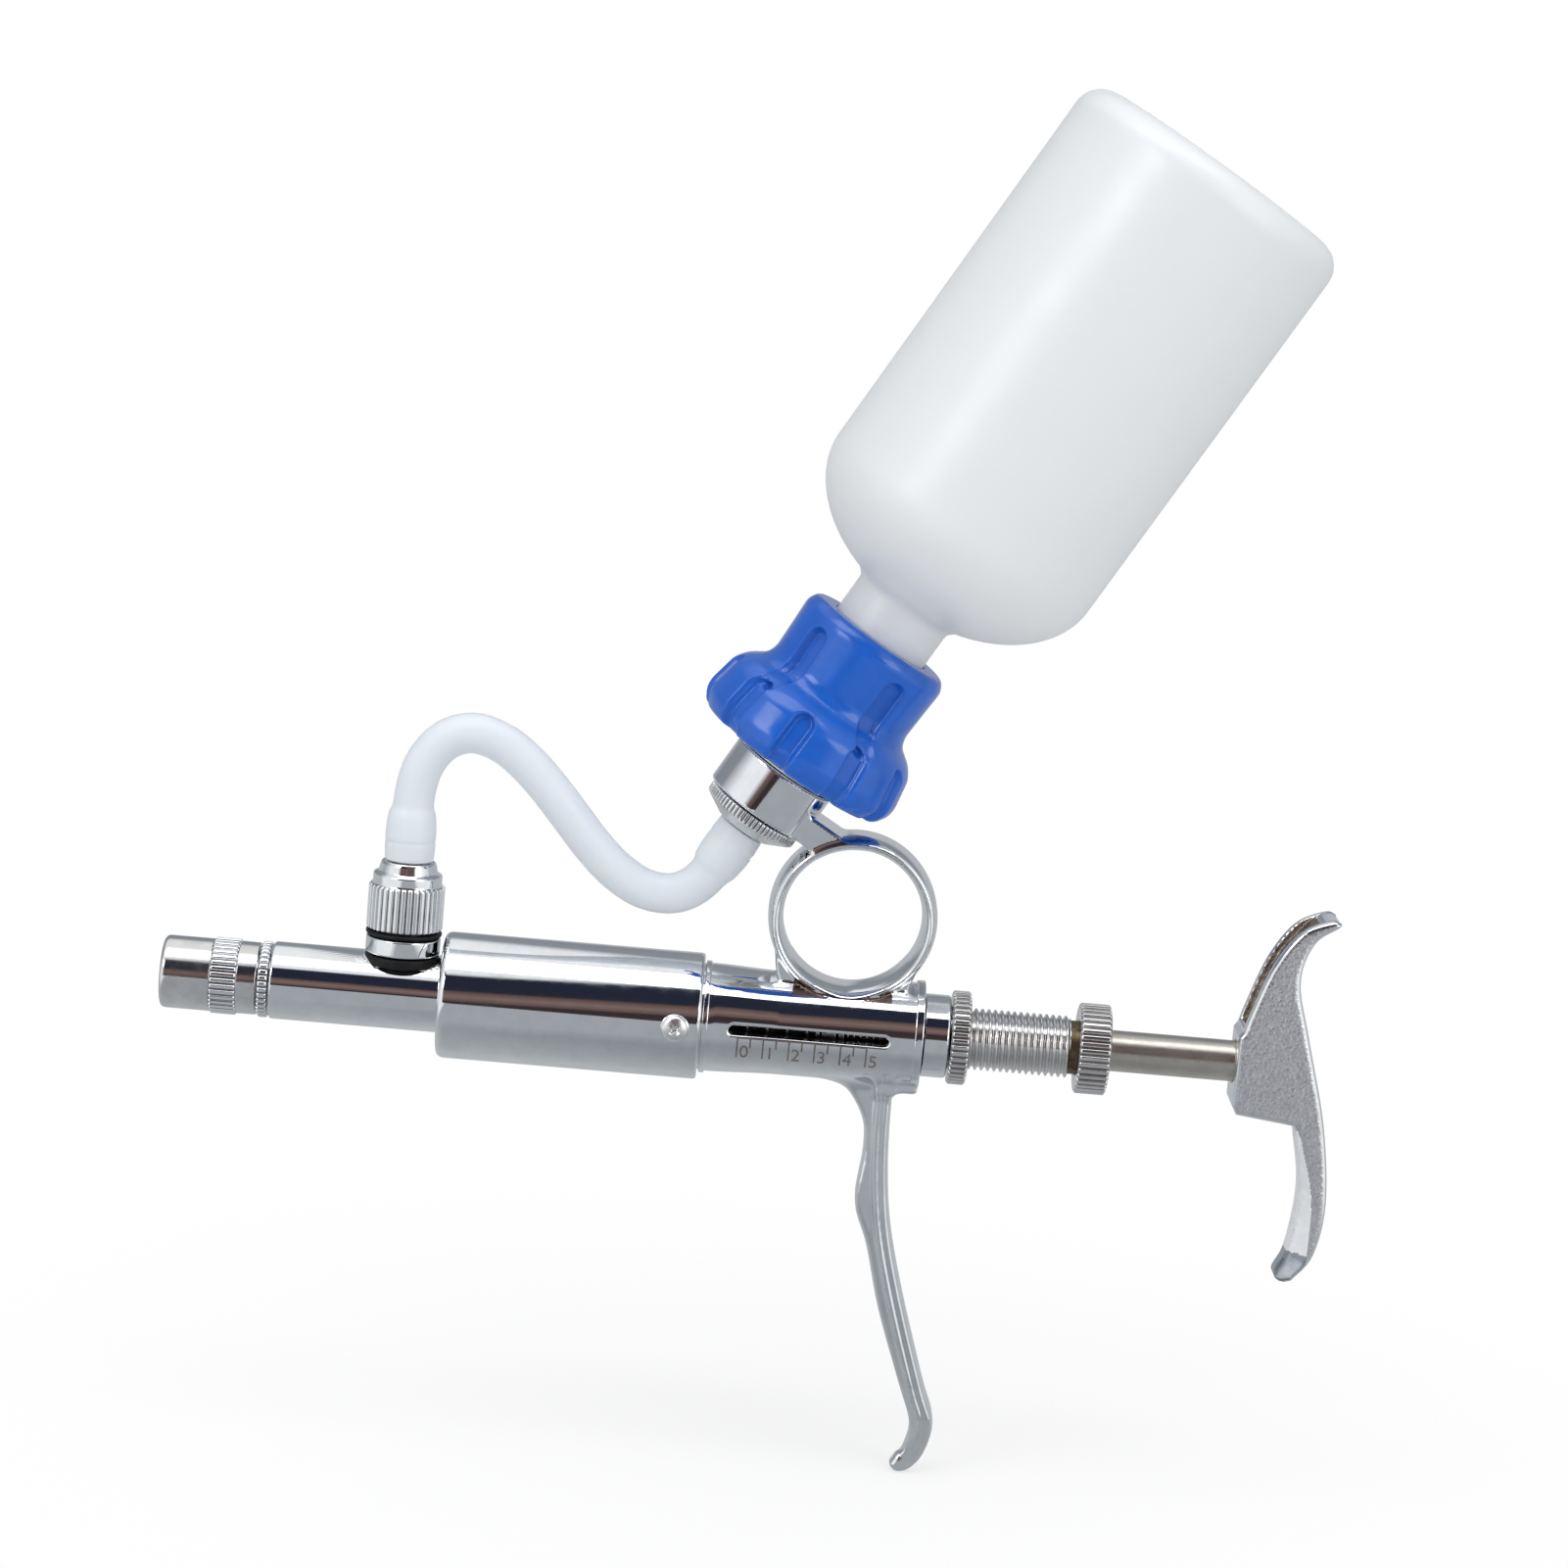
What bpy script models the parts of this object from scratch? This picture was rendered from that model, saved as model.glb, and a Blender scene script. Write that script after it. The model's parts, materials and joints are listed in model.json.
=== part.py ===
"""Automatic veterinary syringe, fed from a bottle.

The barrel lies along X, with the needle end at -X and the palm rest at +X, and Z is up. The origin is
on the barrel's axis, below the middle of the finger ring. Sizes are in millimetres and become metres
where a mesh is made. A station is a place along the axis that a piece is turned about.
"""
import math

import bmesh
import bpy
from mathutils import Matrix, Vector

MM = 0.001
GAP = 0.3                    # between pieces that touch
RUN = 0.15                   # round a piece that turns or slides in another
CUT = 3.0                    # how far a cutter stands out of what it cuts

# Columns round a turned piece
FINE = 28
MEDIUM = 18
SMALL = 12
KNURL_TEETH = 14

# Barrel: the main body, its bore and the spigot that carries the casing
BODY_REAR = 15.3
BODY_LENGTH = 41.6
BODY_R = 10.05
BODY_FRONT_R = 10.5
BODY_TAPER_LENGTH = 14.0
REAR_BAND_LENGTH = 1.6
REAR_BAND_R = 10.5
LEDGE_LENGTH = 1.0
LEDGE_R = 10.9
SPIGOT_LENGTH = 10.2
PILOT_BORE_R = 8.3
PILOT_DEPTH = 3.3
BODY_BORE_R = 6.7
BUSH_SEAT_R = 7.6
BUSH_SEAT_DEPTH = 6.3

# Window that shows the dose
SLOT_FROM_REAR = 6.6
SLOT_LENGTH = 30.7
SLOT_WIDTH = 1.7

# Casing, the screw that holds it and the glass cylinder in it
CASING_R = 12.26
CASING_BORE_R = 10.6
CASING_LENGTH = 50.6
CASING_END_WALL = 2.0
CASING_ROUND = 1.5
CASING_RIM = 0.6
GLASS_BORE_R = 8.0
GLASS_WALL = 1.75
SEAL_THICKNESS = 1.0
SEAL_WIDTH = 2.2
SCREW_FROM_LEDGE = 5.1
SCREW_SHANK_R = 1.5
SCREW_HEAD_R = 2.8
SCREW_HEAD_HEIGHT = 1.5
SCREW_REACH = 4.6
RECESS_WIDTH = 0.7
RECESS_SPAN = 2.9
RECESS_DEPTH = 0.8

# Valve head: the front tube with its flange in the casing and its outlet spigot
TUBE_R = 7.5
TUBE_LENGTH = 35.0
TUBE_BORE_R = 3.0
HEAD_FLANGE_LENGTH = 3.0
OUTLET_SPIGOT_LENGTH = 5.6
OUTLET_SPIGOT_R = 5.0
VALVE_SEAT_R = 1.2
VALVE_SEAT_LENGTH = 3.0

# Outlet: lock ring, needle nut and the cone that the needle is pushed on
RING_KNURL_R = 7.4
LOCK_RING_LENGTH = 2.0
NUT_R = 7.05
NUT_LENGTH = 18.6
NUT_ROUND = 1.4
NUT_BAND_R = 7.4
NUT_BAND_FROM_REAR = 3.7
NUT_BAND_LENGTH = 5.3
NUT_SOCKET_R = 4.3
NUT_SOCKET_DEPTH = 6.2
NUT_WEB = 1.8
CONE_BASE_R = 2.25
CONE_TIP_R = 1.98
CONE_LENGTH = 5.4
CONE_NECK_R = 2.7
CONE_BORE_R = 1.1
CONE_FLANGE_LENGTH = 1.3
CAGE_R = 3.3
CAGE_BORE_R = 2.3
KNURL_DEPTH = 0.5
EDGE_CHAMFER = 0.6

# Both ball valves
BALL_R = 1.75
VALVE_SPRING_R = 1.3
VALVE_WIRE = 0.35
VALVE_TURNS = 2.5

# Inlet on top of the valve head, stations up from the barrel's axis
INLET_FROM_CASING = 8.0
INLET_FLAT = 5.1
GASKET_R = 7.2
GASKET_THICKNESS = 2.0
INLET_THREAD_R = 4.0
INLET_SPIGOT_DEPTH = 3.8
PORT_R = 1.5
VALVE_BODY_R = 7.2
VALVE_BODY_FLANGE = 3.3
VALVE_BODY_NECK_R = 5.0
VALVE_BODY_NECK = 6.6
CHAMBER_R = 2.6
CHAMBER_FLOOR = 0.5
O_RING_HEIGHT = 0.8
O_RING_R = 7.35
INLET_NUT_R = 7.35
INLET_NUT_HEIGHT = 13.3
INLET_NUT_GRIP = 8.6
INLET_NUT_STEP_R = 6.65
INLET_NUT_STEP = 2.6
INLET_NUT_TOP_R = 5.1
INLET_NUT_WEB = 4.8

# Hose and the barbs that it is pushed on
HOSE_R = 3.9
HOSE_BORE_R = 2.6
HOSE_WALL_ON_BARB = 1.2
HOSE_STEP = 4.6
BARB_STEM_R = 2.85
BARB_R = 3.4
BARB_LENGTH = 8.4
BARB_RINGS = 3
BARB_BORE_R = 1.5
BARB_FLANGE = 2.7

# Piston, rod and what sits on the rod
SET_DOSE_ML = 4.27
PISTON_LENGTH = 8.0
PISTON_SLACK = 0.4
PISTON_GROOVE_DEPTH = 1.7
PISTON_RING_WIDTH = 1.4
PISTON_RING_INSET = 1.2
ROD_R = 4.0
ROD_SPIGOT_R = 2.5
ROD_SPIGOT_LENGTH = 5.0
ROD_IN_PALM = 11.0
COLLAR_R = 6.2
COLLAR_LENGTH = 3.0
WASHER_R = 6.3
WASHER_LENGTH = 0.8
THRUST_RING_LENGTH = 1.2
SPRING_R = 5.25
SPRING_WIRE = 0.9
SPRING_TURNS = 8
GUIDE_FLANGE_LENGTH = 1.4
GUIDE_PILOT_LENGTH = 3.0
GUIDE_PILOT_WALL = 1.4

# Dose screw at the rear
SLEEVE_FRONT = 0.6
SLEEVE_LENGTH = 43.4
THREAD_R = 6.0
THREAD_DEPTH = 0.7
THREAD_PITCH = 1.25
THREAD_COLUMNS = 12
THREAD_TURNS = 24
KNOB_NECK_R = 5.2
KNOB_NECK_LENGTH = 1.6
KNOB_R = 8.8
KNOB_LENGTH = 6.05
BUSH_R = 8.06
BUSH_FLANGE_LENGTH = 4.9
LOCK_NUT_R = 9.1
LOCK_NUT_LENGTH = 3.6

# Palm rest: how far its face stands off the knob when the plunger is pushed home, and its outline
# measured back from that face. The front goes down from the horn to the toe, the rear goes back up.
PALM_STAND_OFF = 3.3
PALM_WIDTH = 12.0
PALM_ROUND = 1.3
PALM_HORN = [(17.7, 29.6), (15.4, 30.1), (9.8, 27.3), (5.2, 20.4), (1.8, 10.8), (0.7, 6.9)]
PALM_BLOCK = [(0.0, 6.0), (0.0, -7.6), (1.0, -9.5), (12.3, -10.8)]
PALM_HOOK = [(13.4, -13.0), (15.2, -24.0), (14.0, -35.5), (12.0, -40.5)]
PALM_TOE = [(12.1, -41.7), (13.1, -42.3)]
PALM_BACK = [(15.4, -41.7), (19.0, -36.0), (20.3, -25.5), (18.2, -10.1), (13.7, 6.3), (10.8, 17.5),
             (12.7, 25.2), (17.2, 28.9)]
CURVE_STEPS = 3

# Finger ring on top of the barrel, and the root that spreads from it over the barrel
RING_HEIGHT = 22.35
RING_R = 16.35
RING_THICKNESS = 3.0
RING_WIDTH = 11.0
RING_RIM = 0.6
RING_INNER_CROWN = 1.45
ROOT_X = -0.7
ROOT_HALF_LENGTH = 13.3
ROOT_TAPER = 4.1
ROOT_RISE = 4.3
ROOT_SINK = 5.6
ROOT_FLARE = 3.7

# Bottle axis: how far it lies from the middle of the ring, across and along itself, and its lean
BOTTLE_LEAN = 30.6
RING_TO_AXIS = 27.34
RING_TO_SOCKET = 14.79

# Socket, arm, hose fitting and cap, stations along the bottle axis
SOCKET_BOTTOM = -8.4
SOCKET_LENGTH = 9.6
SOCKET_R = 10.6
STUD_R = 4.0
ARM_HEIGHT = 5.55
ARM_WIDTH = 11.6
FITTING_R = 9.8
FITTING_KNURL_LENGTH = 2.2
FITTING_CONE_LENGTH = 2.1
FITTING_CONE_R = 5.6
SOCKET_GASKET_R = 11.0
SOCKET_GASKET_THICKNESS = 0.9
CAP_LENGTH = 29.7
CAP_FLOOR = 3.5
CAP_LOWER_R = 21.6
CAP_LOWER_HEIGHT = 12.0
CAP_LOWER_LOBES = 9
CAP_LOWER_PHASE = -12.4
CAP_UPPER_R = 15.6
CAP_UPPER_FROM = 15.3
CAP_UPPER_LOBES = 6
CAP_UPPER_PHASE = -4.0
CAP_UPPER_GROOVES = 7.5
CAP_COLUMNS = 54
CAP_GROOVE_DEPTH = 1.9
CAP_GROOVE_WIDTH = 4.4
CAP_NUT_R = 6.9
CAP_NUT_HEIGHT = 2.6
BOTTLE_SEAL_THICKNESS = 1.5

# Bottle, stations along its axis
BOTTLE_WALL = 1.2
NECK_R = 10.0
BOTTLE_R = 29.15
SHOULDER_END = 59.6
SHOULDER_DEPTH = 19.9
BOTTLE_BASE = 141.2
BASE_CORNER_R = 5.5
SHOULDER_STEPS = 4

# Finger lever under the barrel: its edges as (x, height over the barrel's underside), going down
LEVER_FRONT = [(-3.4, 2.4), (1.6, -1.2), (5.3, -7.0), (6.1, -13.5), (5.4, -24.0), (8.4, -32.5),
               (11.8, -45.0), (16.9, -59.0), (20.0, -67.5), (19.2, -73.0), (17.4, -76.2)]
LEVER_REAR = [(10.3, 2.6), (10.4, -2.5), (10.5, -9.0), (10.9, -16.5), (11.9, -25.0), (13.7, -33.5),
              (17.0, -45.0), (21.7, -59.5), (24.3, -67.0), (23.0, -74.0), (19.6, -77.9)]
LEVER_WEB = 6.2
LEVER_NOSE = 1.2
LEVER_RIB = 10.6
LEVER_RIB_DEPTH = 2.6
LEVER_STEPS = 18

# Hose from the inlet barb to the bottle fitting: points on its centre line in the XZ plane
HOSE_ROUTE = [(-85.7, 41.0), (-84.0, 46.0), (-80.5, 50.0), (-75.3, 51.6), (-69.5, 49.9), (-64.4, 46.2),
              (-59.8, 41.6), (-55.5, 36.7), (-51.1, 31.7), (-46.2, 27.2), (-40.5, 24.1), (-34.6, 23.8),
              (-29.9, 26.6)]
HOSE_STRAIGHT_AT_INLET = 9.0
HOSE_STRAIGHT_AT_FITTING = 6.0

# Stations along the barrel that follow from the sizes above
BODY_FRONT = BODY_REAR - BODY_LENGTH
LEDGE_FRONT = BODY_FRONT - LEDGE_LENGTH
SPIGOT_FRONT = LEDGE_FRONT - SPIGOT_LENGTH
CASING_REAR = LEDGE_FRONT - GAP
CASING_FRONT = CASING_REAR - CASING_LENGTH
CASING_INSIDE = CASING_FRONT + CASING_END_WALL
PLATE_R = CASING_BORE_R - GAP
HEAD_FLANGE_FRONT = CASING_INSIDE + GAP
HEAD_REAR = HEAD_FLANGE_FRONT + HEAD_FLANGE_LENGTH
TUBE_FRONT = HEAD_FLANGE_FRONT - TUBE_LENGTH
OUTLET_FACE = TUBE_FRONT - OUTLET_SPIGOT_LENGTH
GUIDE_SEAT = SPIGOT_FRONT - GAP
GUIDE_FRONT = GUIDE_SEAT - GUIDE_FLANGE_LENGTH
FRONT_SEAL_FRONT = HEAD_REAR + GAP
GLASS_FRONT = FRONT_SEAL_FRONT + SEAL_THICKNESS + GAP
REAR_SEAL_REAR = GUIDE_FRONT - GAP
REAR_SEAL_FRONT = REAR_SEAL_REAR - SEAL_THICKNESS
GLASS_REAR = REAR_SEAL_FRONT - GAP

SET_STROKE = SET_DOSE_ML * 1000.0 / (math.pi * GLASS_BORE_R ** 2)
PISTON_FRONT = HEAD_REAR + GAP + SET_STROKE
PISTON_REAR = PISTON_FRONT + PISTON_LENGTH
PISTON_R = GLASS_BORE_R - PISTON_SLACK
THRUST_REAR = SLEEVE_FRONT - GAP
THRUST_FRONT = THRUST_REAR - THRUST_RING_LENGTH
COLLAR_REAR = THRUST_FRONT - GAP
COLLAR_FRONT = COLLAR_REAR - COLLAR_LENGTH
WASHER_REAR = COLLAR_FRONT - GAP
WASHER_FRONT = WASHER_REAR - WASHER_LENGTH
BUSH_FRONT = BODY_REAR - BUSH_SEAT_DEPTH + GAP
BUSH_SHOULDER = BODY_REAR + GAP
BUSH_REAR = BUSH_SHOULDER + BUSH_FLANGE_LENGTH
LOCK_NUT_FRONT = BUSH_REAR + GAP
LOCK_NUT_REAR = LOCK_NUT_FRONT + LOCK_NUT_LENGTH
THREAD_END = SLEEVE_FRONT + SLEEVE_LENGTH
KNOB_FRONT = THREAD_END + KNOB_NECK_LENGTH
KNOB_REAR = KNOB_FRONT + KNOB_LENGTH
PALM_FRONT = KNOB_REAR + SET_STROKE + PALM_STAND_OFF
SLOT_REAR = BODY_REAR - SLOT_FROM_REAR
ROD_BORE_R = ROD_R + RUN
THREAD_BORE_R = THREAD_R + RUN
THREAD_ROOT_R = THREAD_R - THREAD_DEPTH

LOCK_RING_REAR = TUBE_FRONT - GAP
LOCK_RING_FRONT = LOCK_RING_REAR - LOCK_RING_LENGTH
NUT_REAR = LOCK_RING_FRONT - GAP
NUT_FRONT = NUT_REAR - NUT_LENGTH
NUT_SOCKET_FLOOR = NUT_FRONT + NUT_SOCKET_DEPTH
NUT_WEB_REAR = NUT_SOCKET_FLOOR + NUT_WEB
SPIGOT_CLEAR_R = OUTLET_SPIGOT_R + GAP
CONE_FLANGE_FRONT = NUT_WEB_REAR + GAP
CONE_FLANGE_REAR = CONE_FLANGE_FRONT + CONE_FLANGE_LENGTH
CAGE_REAR = OUTLET_FACE - GAP
CONE_BASE = NUT_SOCKET_FLOOR - GAP
SEATED_BALL = math.sqrt(BALL_R ** 2 - VALVE_SEAT_R ** 2) + GAP
OUTLET_BALL_X = OUTLET_FACE - SEATED_BALL

# Stations up the inlet
INLET_X = CASING_FRONT - INLET_FROM_CASING
GASKET_BOTTOM = INLET_FLAT + GAP
VALVE_BODY_BOTTOM = GASKET_BOTTOM + GASKET_THICKNESS + GAP
INLET_SPIGOT_BOTTOM = VALVE_BODY_BOTTOM - INLET_SPIGOT_DEPTH
VALVE_BODY_TOP = VALVE_BODY_BOTTOM + VALVE_BODY_FLANGE
NECK_TOP = VALVE_BODY_TOP + VALVE_BODY_NECK
CHAMBER_BOTTOM = VALVE_BODY_TOP - CHAMBER_FLOOR
O_RING_BOTTOM = VALVE_BODY_TOP + GAP
INLET_NUT_BOTTOM = O_RING_BOTTOM + O_RING_HEIGHT + GAP
INLET_NUT_TOP = INLET_NUT_BOTTOM + INLET_NUT_HEIGHT
INLET_FLANGE_BOTTOM = NECK_TOP + GAP
INLET_FLANGE_TOP = INLET_FLANGE_BOTTOM + BARB_FLANGE
INLET_BALL_Z = INLET_FLANGE_BOTTOM - SEATED_BALL
HOSE_START = INLET_NUT_TOP + GAP

# Stations along the bottle axis
LEAN = math.radians(BOTTLE_LEAN)
UP_BOTTLE = Vector((math.sin(LEAN), 0.0, math.cos(LEAN)))
ACROSS_BOTTLE = Vector((math.cos(LEAN), 0.0, -math.sin(LEAN)))
BOTTLE_POINT = (Vector((0.0, 0.0, RING_HEIGHT)) - ACROSS_BOTTLE * RING_TO_AXIS
                + UP_BOTTLE * RING_TO_SOCKET)
SOCKET_TOP = SOCKET_BOTTOM + SOCKET_LENGTH
STUD_BORE_R = STUD_R + GAP
FITTING_TOP = SOCKET_BOTTOM - GAP
FITTING_CONE_TOP = FITTING_TOP - FITTING_KNURL_LENGTH
FITTING_BOTTOM = FITTING_CONE_TOP - FITTING_CONE_LENGTH
HOSE_END = FITTING_BOTTOM - GAP
SOCKET_GASKET_BOTTOM = SOCKET_TOP + GAP
CAP_BOTTOM = SOCKET_GASKET_BOTTOM + SOCKET_GASKET_THICKNESS + GAP
CAP_INSIDE = CAP_BOTTOM + CAP_FLOOR
CAP_LOWER_TOP = CAP_BOTTOM + CAP_LOWER_HEIGHT
CAP_UPPER_BOTTOM = CAP_BOTTOM + CAP_UPPER_FROM
CAP_TOP = CAP_BOTTOM + CAP_LENGTH
CAP_BORE_R = NECK_R + GAP
CAP_NUT_BOTTOM = CAP_INSIDE + GAP
STUD_TOP = CAP_NUT_BOTTOM + CAP_NUT_HEIGHT + GAP
BOTTLE_SEAL_BOTTOM = CAP_INSIDE + GAP
BOTTLE_SEAL_BORE_R = CAP_NUT_R + GAP
NECK_RIM = BOTTLE_SEAL_BOTTOM + BOTTLE_SEAL_THICKNESS + GAP


def along_x(station=0.0):
    """Lay a turned piece's own axis along the barrel."""
    return Matrix.Translation((station * MM, 0, 0)) @ Matrix.Rotation(math.radians(90), 4, "Y")


def up_inlet(station=0.0):
    """Stand a turned piece on the inlet's axis."""
    return Matrix.Translation((INLET_X * MM, 0, station * MM))


def up_bottle():
    """Stand a turned piece on the bottle's axis."""
    return Matrix.Translation(BOTTLE_POINT * MM) @ Matrix.Rotation(LEAN, 4, "Y")


def across(x, z):
    """Lay a turned piece's own axis along Y, so that low stations are on the near side."""
    return Matrix.Translation((x * MM, 0, z * MM)) @ Matrix.Rotation(math.radians(-90), 4, "X")


def on_bottle_axis(station):
    """A point of the bottle's axis, in millimetres."""
    return BOTTLE_POINT + UP_BOTTLE * station


def finish(name, colour, metallic, roughness, alpha=1.0):
    """One Principled material."""
    material = bpy.data.materials.new(name)
    material.use_nodes = True
    shader = material.node_tree.nodes["Principled BSDF"]
    shader.inputs["Base Color"].default_value = (*colour, 1.0)
    shader.inputs["Metallic"].default_value = metallic
    shader.inputs["Roughness"].default_value = roughness
    shader.inputs["Alpha"].default_value = alpha
    material.diffuse_color = (*colour, alpha)
    return material


def make_object(name, bm, place, material, sharp=35.0):
    """Turn a bmesh into a named object, smooth but for its sharp edges."""
    bmesh.ops.recalc_face_normals(bm, faces=bm.faces)
    mesh = bpy.data.meshes.new(name)
    bm.to_mesh(mesh)
    bm.free()
    mesh.shade_smooth()
    mesh.set_sharp_from_angle(angle=math.radians(sharp))
    if material:
        mesh.materials.append(material)
    obj = bpy.data.objects.new(name, mesh)
    obj.matrix_world = place
    bpy.context.scene.collection.objects.link(obj)
    return obj


def spun(profile, columns):
    """Turn (station, radius) points about Z, as a ring or, between two points on the axis, a solid."""
    bm = bmesh.new()
    points = [bm.verts.new((radius * MM, 0, station * MM)) for station, radius in profile]
    edges = [bm.edges.new(pair) for pair in zip(points, points[1:])]
    if profile[0][1] > 0:
        edges.append(bm.edges.new((points[-1], points[0])))
    bmesh.ops.spin(bm, geom=points + edges, cent=(0, 0, 0), axis=(0, 0, 1), angle=math.tau,
                   steps=columns, use_merge=True)
    bmesh.ops.remove_doubles(bm, verts=bm.verts, dist=0.001 * MM)
    return bm


def turned(name, profile, place, material=None, columns=MEDIUM):
    """A turned piece."""
    return make_object(name, spun(profile, columns), place, material)


def knurled(name, profile, band, place, material):
    """A turned piece with straight teeth between two stations, outside a least radius."""
    low, high, outside = band
    bm = spun(profile, 2 * KNURL_TEETH)
    for vert in bm.verts:
        radius = math.hypot(vert.co.x, vert.co.y)
        column = round(math.atan2(vert.co.y, vert.co.x) / math.tau * 2 * KNURL_TEETH)
        if low * MM <= vert.co.z <= high * MM and radius > outside * MM and column % 2:
            vert.co.xy *= 1 - KNURL_DEPTH * MM / radius
    return make_object(name, bm, place, material, sharp=25.0)


def ring(first, last, inner, outer):
    """A plain ring's profile."""
    return [(first, inner), (first, outer), (last, outer), (last, inner)]


def chamfered_ring(first, last, inner, outer):
    """A ring's profile with its outer edges chamfered."""
    return [(first, inner), (first, outer - EDGE_CHAMFER), (first + EDGE_CHAMFER, outer),
            (last - EDGE_CHAMFER, outer), (last, outer - EDGE_CHAMFER), (last, inner)]


def drill(first, last, radius):
    """The profile of a cutter for a plain hole."""
    return [(first, 0), (first, radius), (last, radius), (last, 0)]


def combine(obj, other, operation):
    """Join one object to another, or cut it, and mark the other as a guide."""
    modifier = obj.modifiers.new(other.name, "BOOLEAN")
    modifier.operation = operation
    modifier.object = other
    other.hide_render = True
    other.display_type = "WIRE"


def block(name, size, place, material=None):
    """A box of the given sizes about its own middle."""
    bm = bmesh.new()
    bmesh.ops.create_cube(bm, size=MM, matrix=Matrix.Diagonal((*size, 1)))
    return make_object(name, bm, place, material)


def smooth_points(points, steps):
    """Points on a smooth curve through the given ones."""
    points = [Vector(point) for point in points]
    chain = [2 * points[0] - points[1]] + points + [2 * points[-1] - points[-2]]
    curve = []
    for a, b, c, d in zip(chain, chain[1:], chain[2:], chain[3:]):
        for step in range(steps):
            t = step / steps
            curve.append(0.5 * (2 * b + (c - a) * t + (2 * a - 5 * b + 4 * c - d) * t ** 2
                                + (3 * b - a - 3 * c + d) * t ** 3))
    return curve + [points[-1]]


def even_points(points, count):
    """The given number of places on the smooth curve through the points, evenly spaced along it."""
    curve = smooth_points(points, 12)
    lengths = [0.0]
    for a, b in zip(curve, curve[1:]):
        lengths.append(lengths[-1] + (b - a).length)
    found = []
    index = 0
    for step in range(count):
        wanted = lengths[-1] * step / (count - 1)
        while index < len(lengths) - 2 and lengths[index + 1] < wanted:
            index += 1
        share = (wanted - lengths[index]) / (lengths[index + 1] - lengths[index])
        found.append(curve[index].lerp(curve[index + 1], share))
    return found


def plate(name, outline, width, material=None, rounding=0.0):
    """An outline in the XZ plane, drawn out along Y to both sides, with its edges rounded if asked."""
    bm = bmesh.new()
    face = bm.faces.new([bm.verts.new((x * MM, -width / 2 * MM, z * MM)) for x, z in outline])
    pulled = bmesh.ops.extrude_face_region(bm, geom=[face])
    moved = [item for item in pulled["geom"] if isinstance(item, bmesh.types.BMVert)]
    bmesh.ops.translate(bm, verts=moved, vec=(0, width * MM, 0))
    obj = make_object(name, bm, Matrix.Identity(4), material)
    if rounding:
        modifier = obj.modifiers.new("Rounded edges", "BEVEL")
        modifier.width = rounding * MM
        modifier.segments = 2
        modifier.limit_method = "ANGLE"
        modifier.angle_limit = math.radians(50)
    return obj


def lofted(name, sections, material=None):
    """A solid through a row of sections that have the same number of points."""
    bm = bmesh.new()
    rows = [[bm.verts.new(point * MM) for point in section] for section in sections]
    for row, following in zip(rows, rows[1:]):
        bmesh.ops.bridge_loops(bm, edges=[
            bm.edges.get(pair) or bm.edges.new(pair)
            for loop in (row, following) for pair in zip(loop, loop[1:] + loop[:1])])
    bm.faces.new(rows[0])
    bm.faces.new(rows[-1])
    return make_object(name, bm, Matrix.Identity(4), material)


def tube_curve(name, points, radius, resolution, factors=None):
    """A round tube with filled ends through points in millimetres."""
    curve = bpy.data.curves.new(name, "CURVE")
    curve.dimensions = "3D"
    curve.bevel_depth = radius * MM
    curve.bevel_resolution = resolution
    curve.use_fill_caps = True
    spline = curve.splines.new("POLY")
    spline.points.add(len(points) - 1)
    for index, point in enumerate(points):
        spline.points[index].co = (*(Vector(point) * MM), 1.0)
        spline.points[index].radius = factors[index] if factors else 1.0
    obj = bpy.data.objects.new(name, curve)
    bpy.context.scene.collection.objects.link(obj)
    return obj


def as_mesh(obj, material=None):
    """Replace a tube's curve by its mesh, so that it can be cut."""
    name = obj.name
    bm = bmesh.new()
    bm.from_mesh(bpy.data.meshes.new_from_object(
        obj.evaluated_get(bpy.context.evaluated_depsgraph_get())))
    bpy.data.objects.remove(obj)
    bmesh.ops.remove_doubles(bm, verts=bm.verts, dist=0.001 * MM)
    return make_object(name, bm, Matrix.Identity(4), material)


def coil_spring(name, start, end, radius, wire, turns, place, material):
    """A coil spring between two stations, with nine points a turn."""
    reach = end - start - wire
    steps = int(turns * 9)
    points = []
    for step in range(steps + 1):
        angle = math.tau * turns * step / steps
        points.append((radius * math.cos(angle), radius * math.sin(angle),
                       start + wire / 2 + reach * step / steps))
    least = min((Vector(a) - Vector(b)).length
                for index, a in enumerate(points) for b in points[index + 6:]) - wire
    print(f"{name}: the least gap between its turns is {least:.2f} mm")
    obj = tube_curve(name, points, wire / 2, 1)
    obj.data.materials.append(material)
    obj.matrix_world = place
    return obj


def valve_spring_reach():
    """How far from the ball's middle its spring starts, its end turn resting round the ball."""
    wire_to_middle = BALL_R + VALVE_WIRE / 2 + GAP
    return math.sqrt(wire_to_middle ** 2 - VALVE_SPRING_R ** 2) - VALVE_WIRE / 2


def ball(name, place, material):
    """A valve ball."""
    bm = bmesh.new()
    bmesh.ops.create_uvsphere(bm, u_segments=12, v_segments=8, radius=BALL_R * MM)
    return make_object(name, bm, place, material)


def barb(root, direction):
    """A hose barb's outside from its root to its tip, along or against the stations."""
    points = []
    for index in range(BARB_RINGS):
        step = BARB_LENGTH / BARB_RINGS
        points.append((root + direction * step * index, BARB_STEM_R))
        points.append((root + direction * step * (index + 0.2), BARB_R))
    return points + [(root + direction * BARB_LENGTH, BARB_STEM_R - 2 * GAP)]


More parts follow.
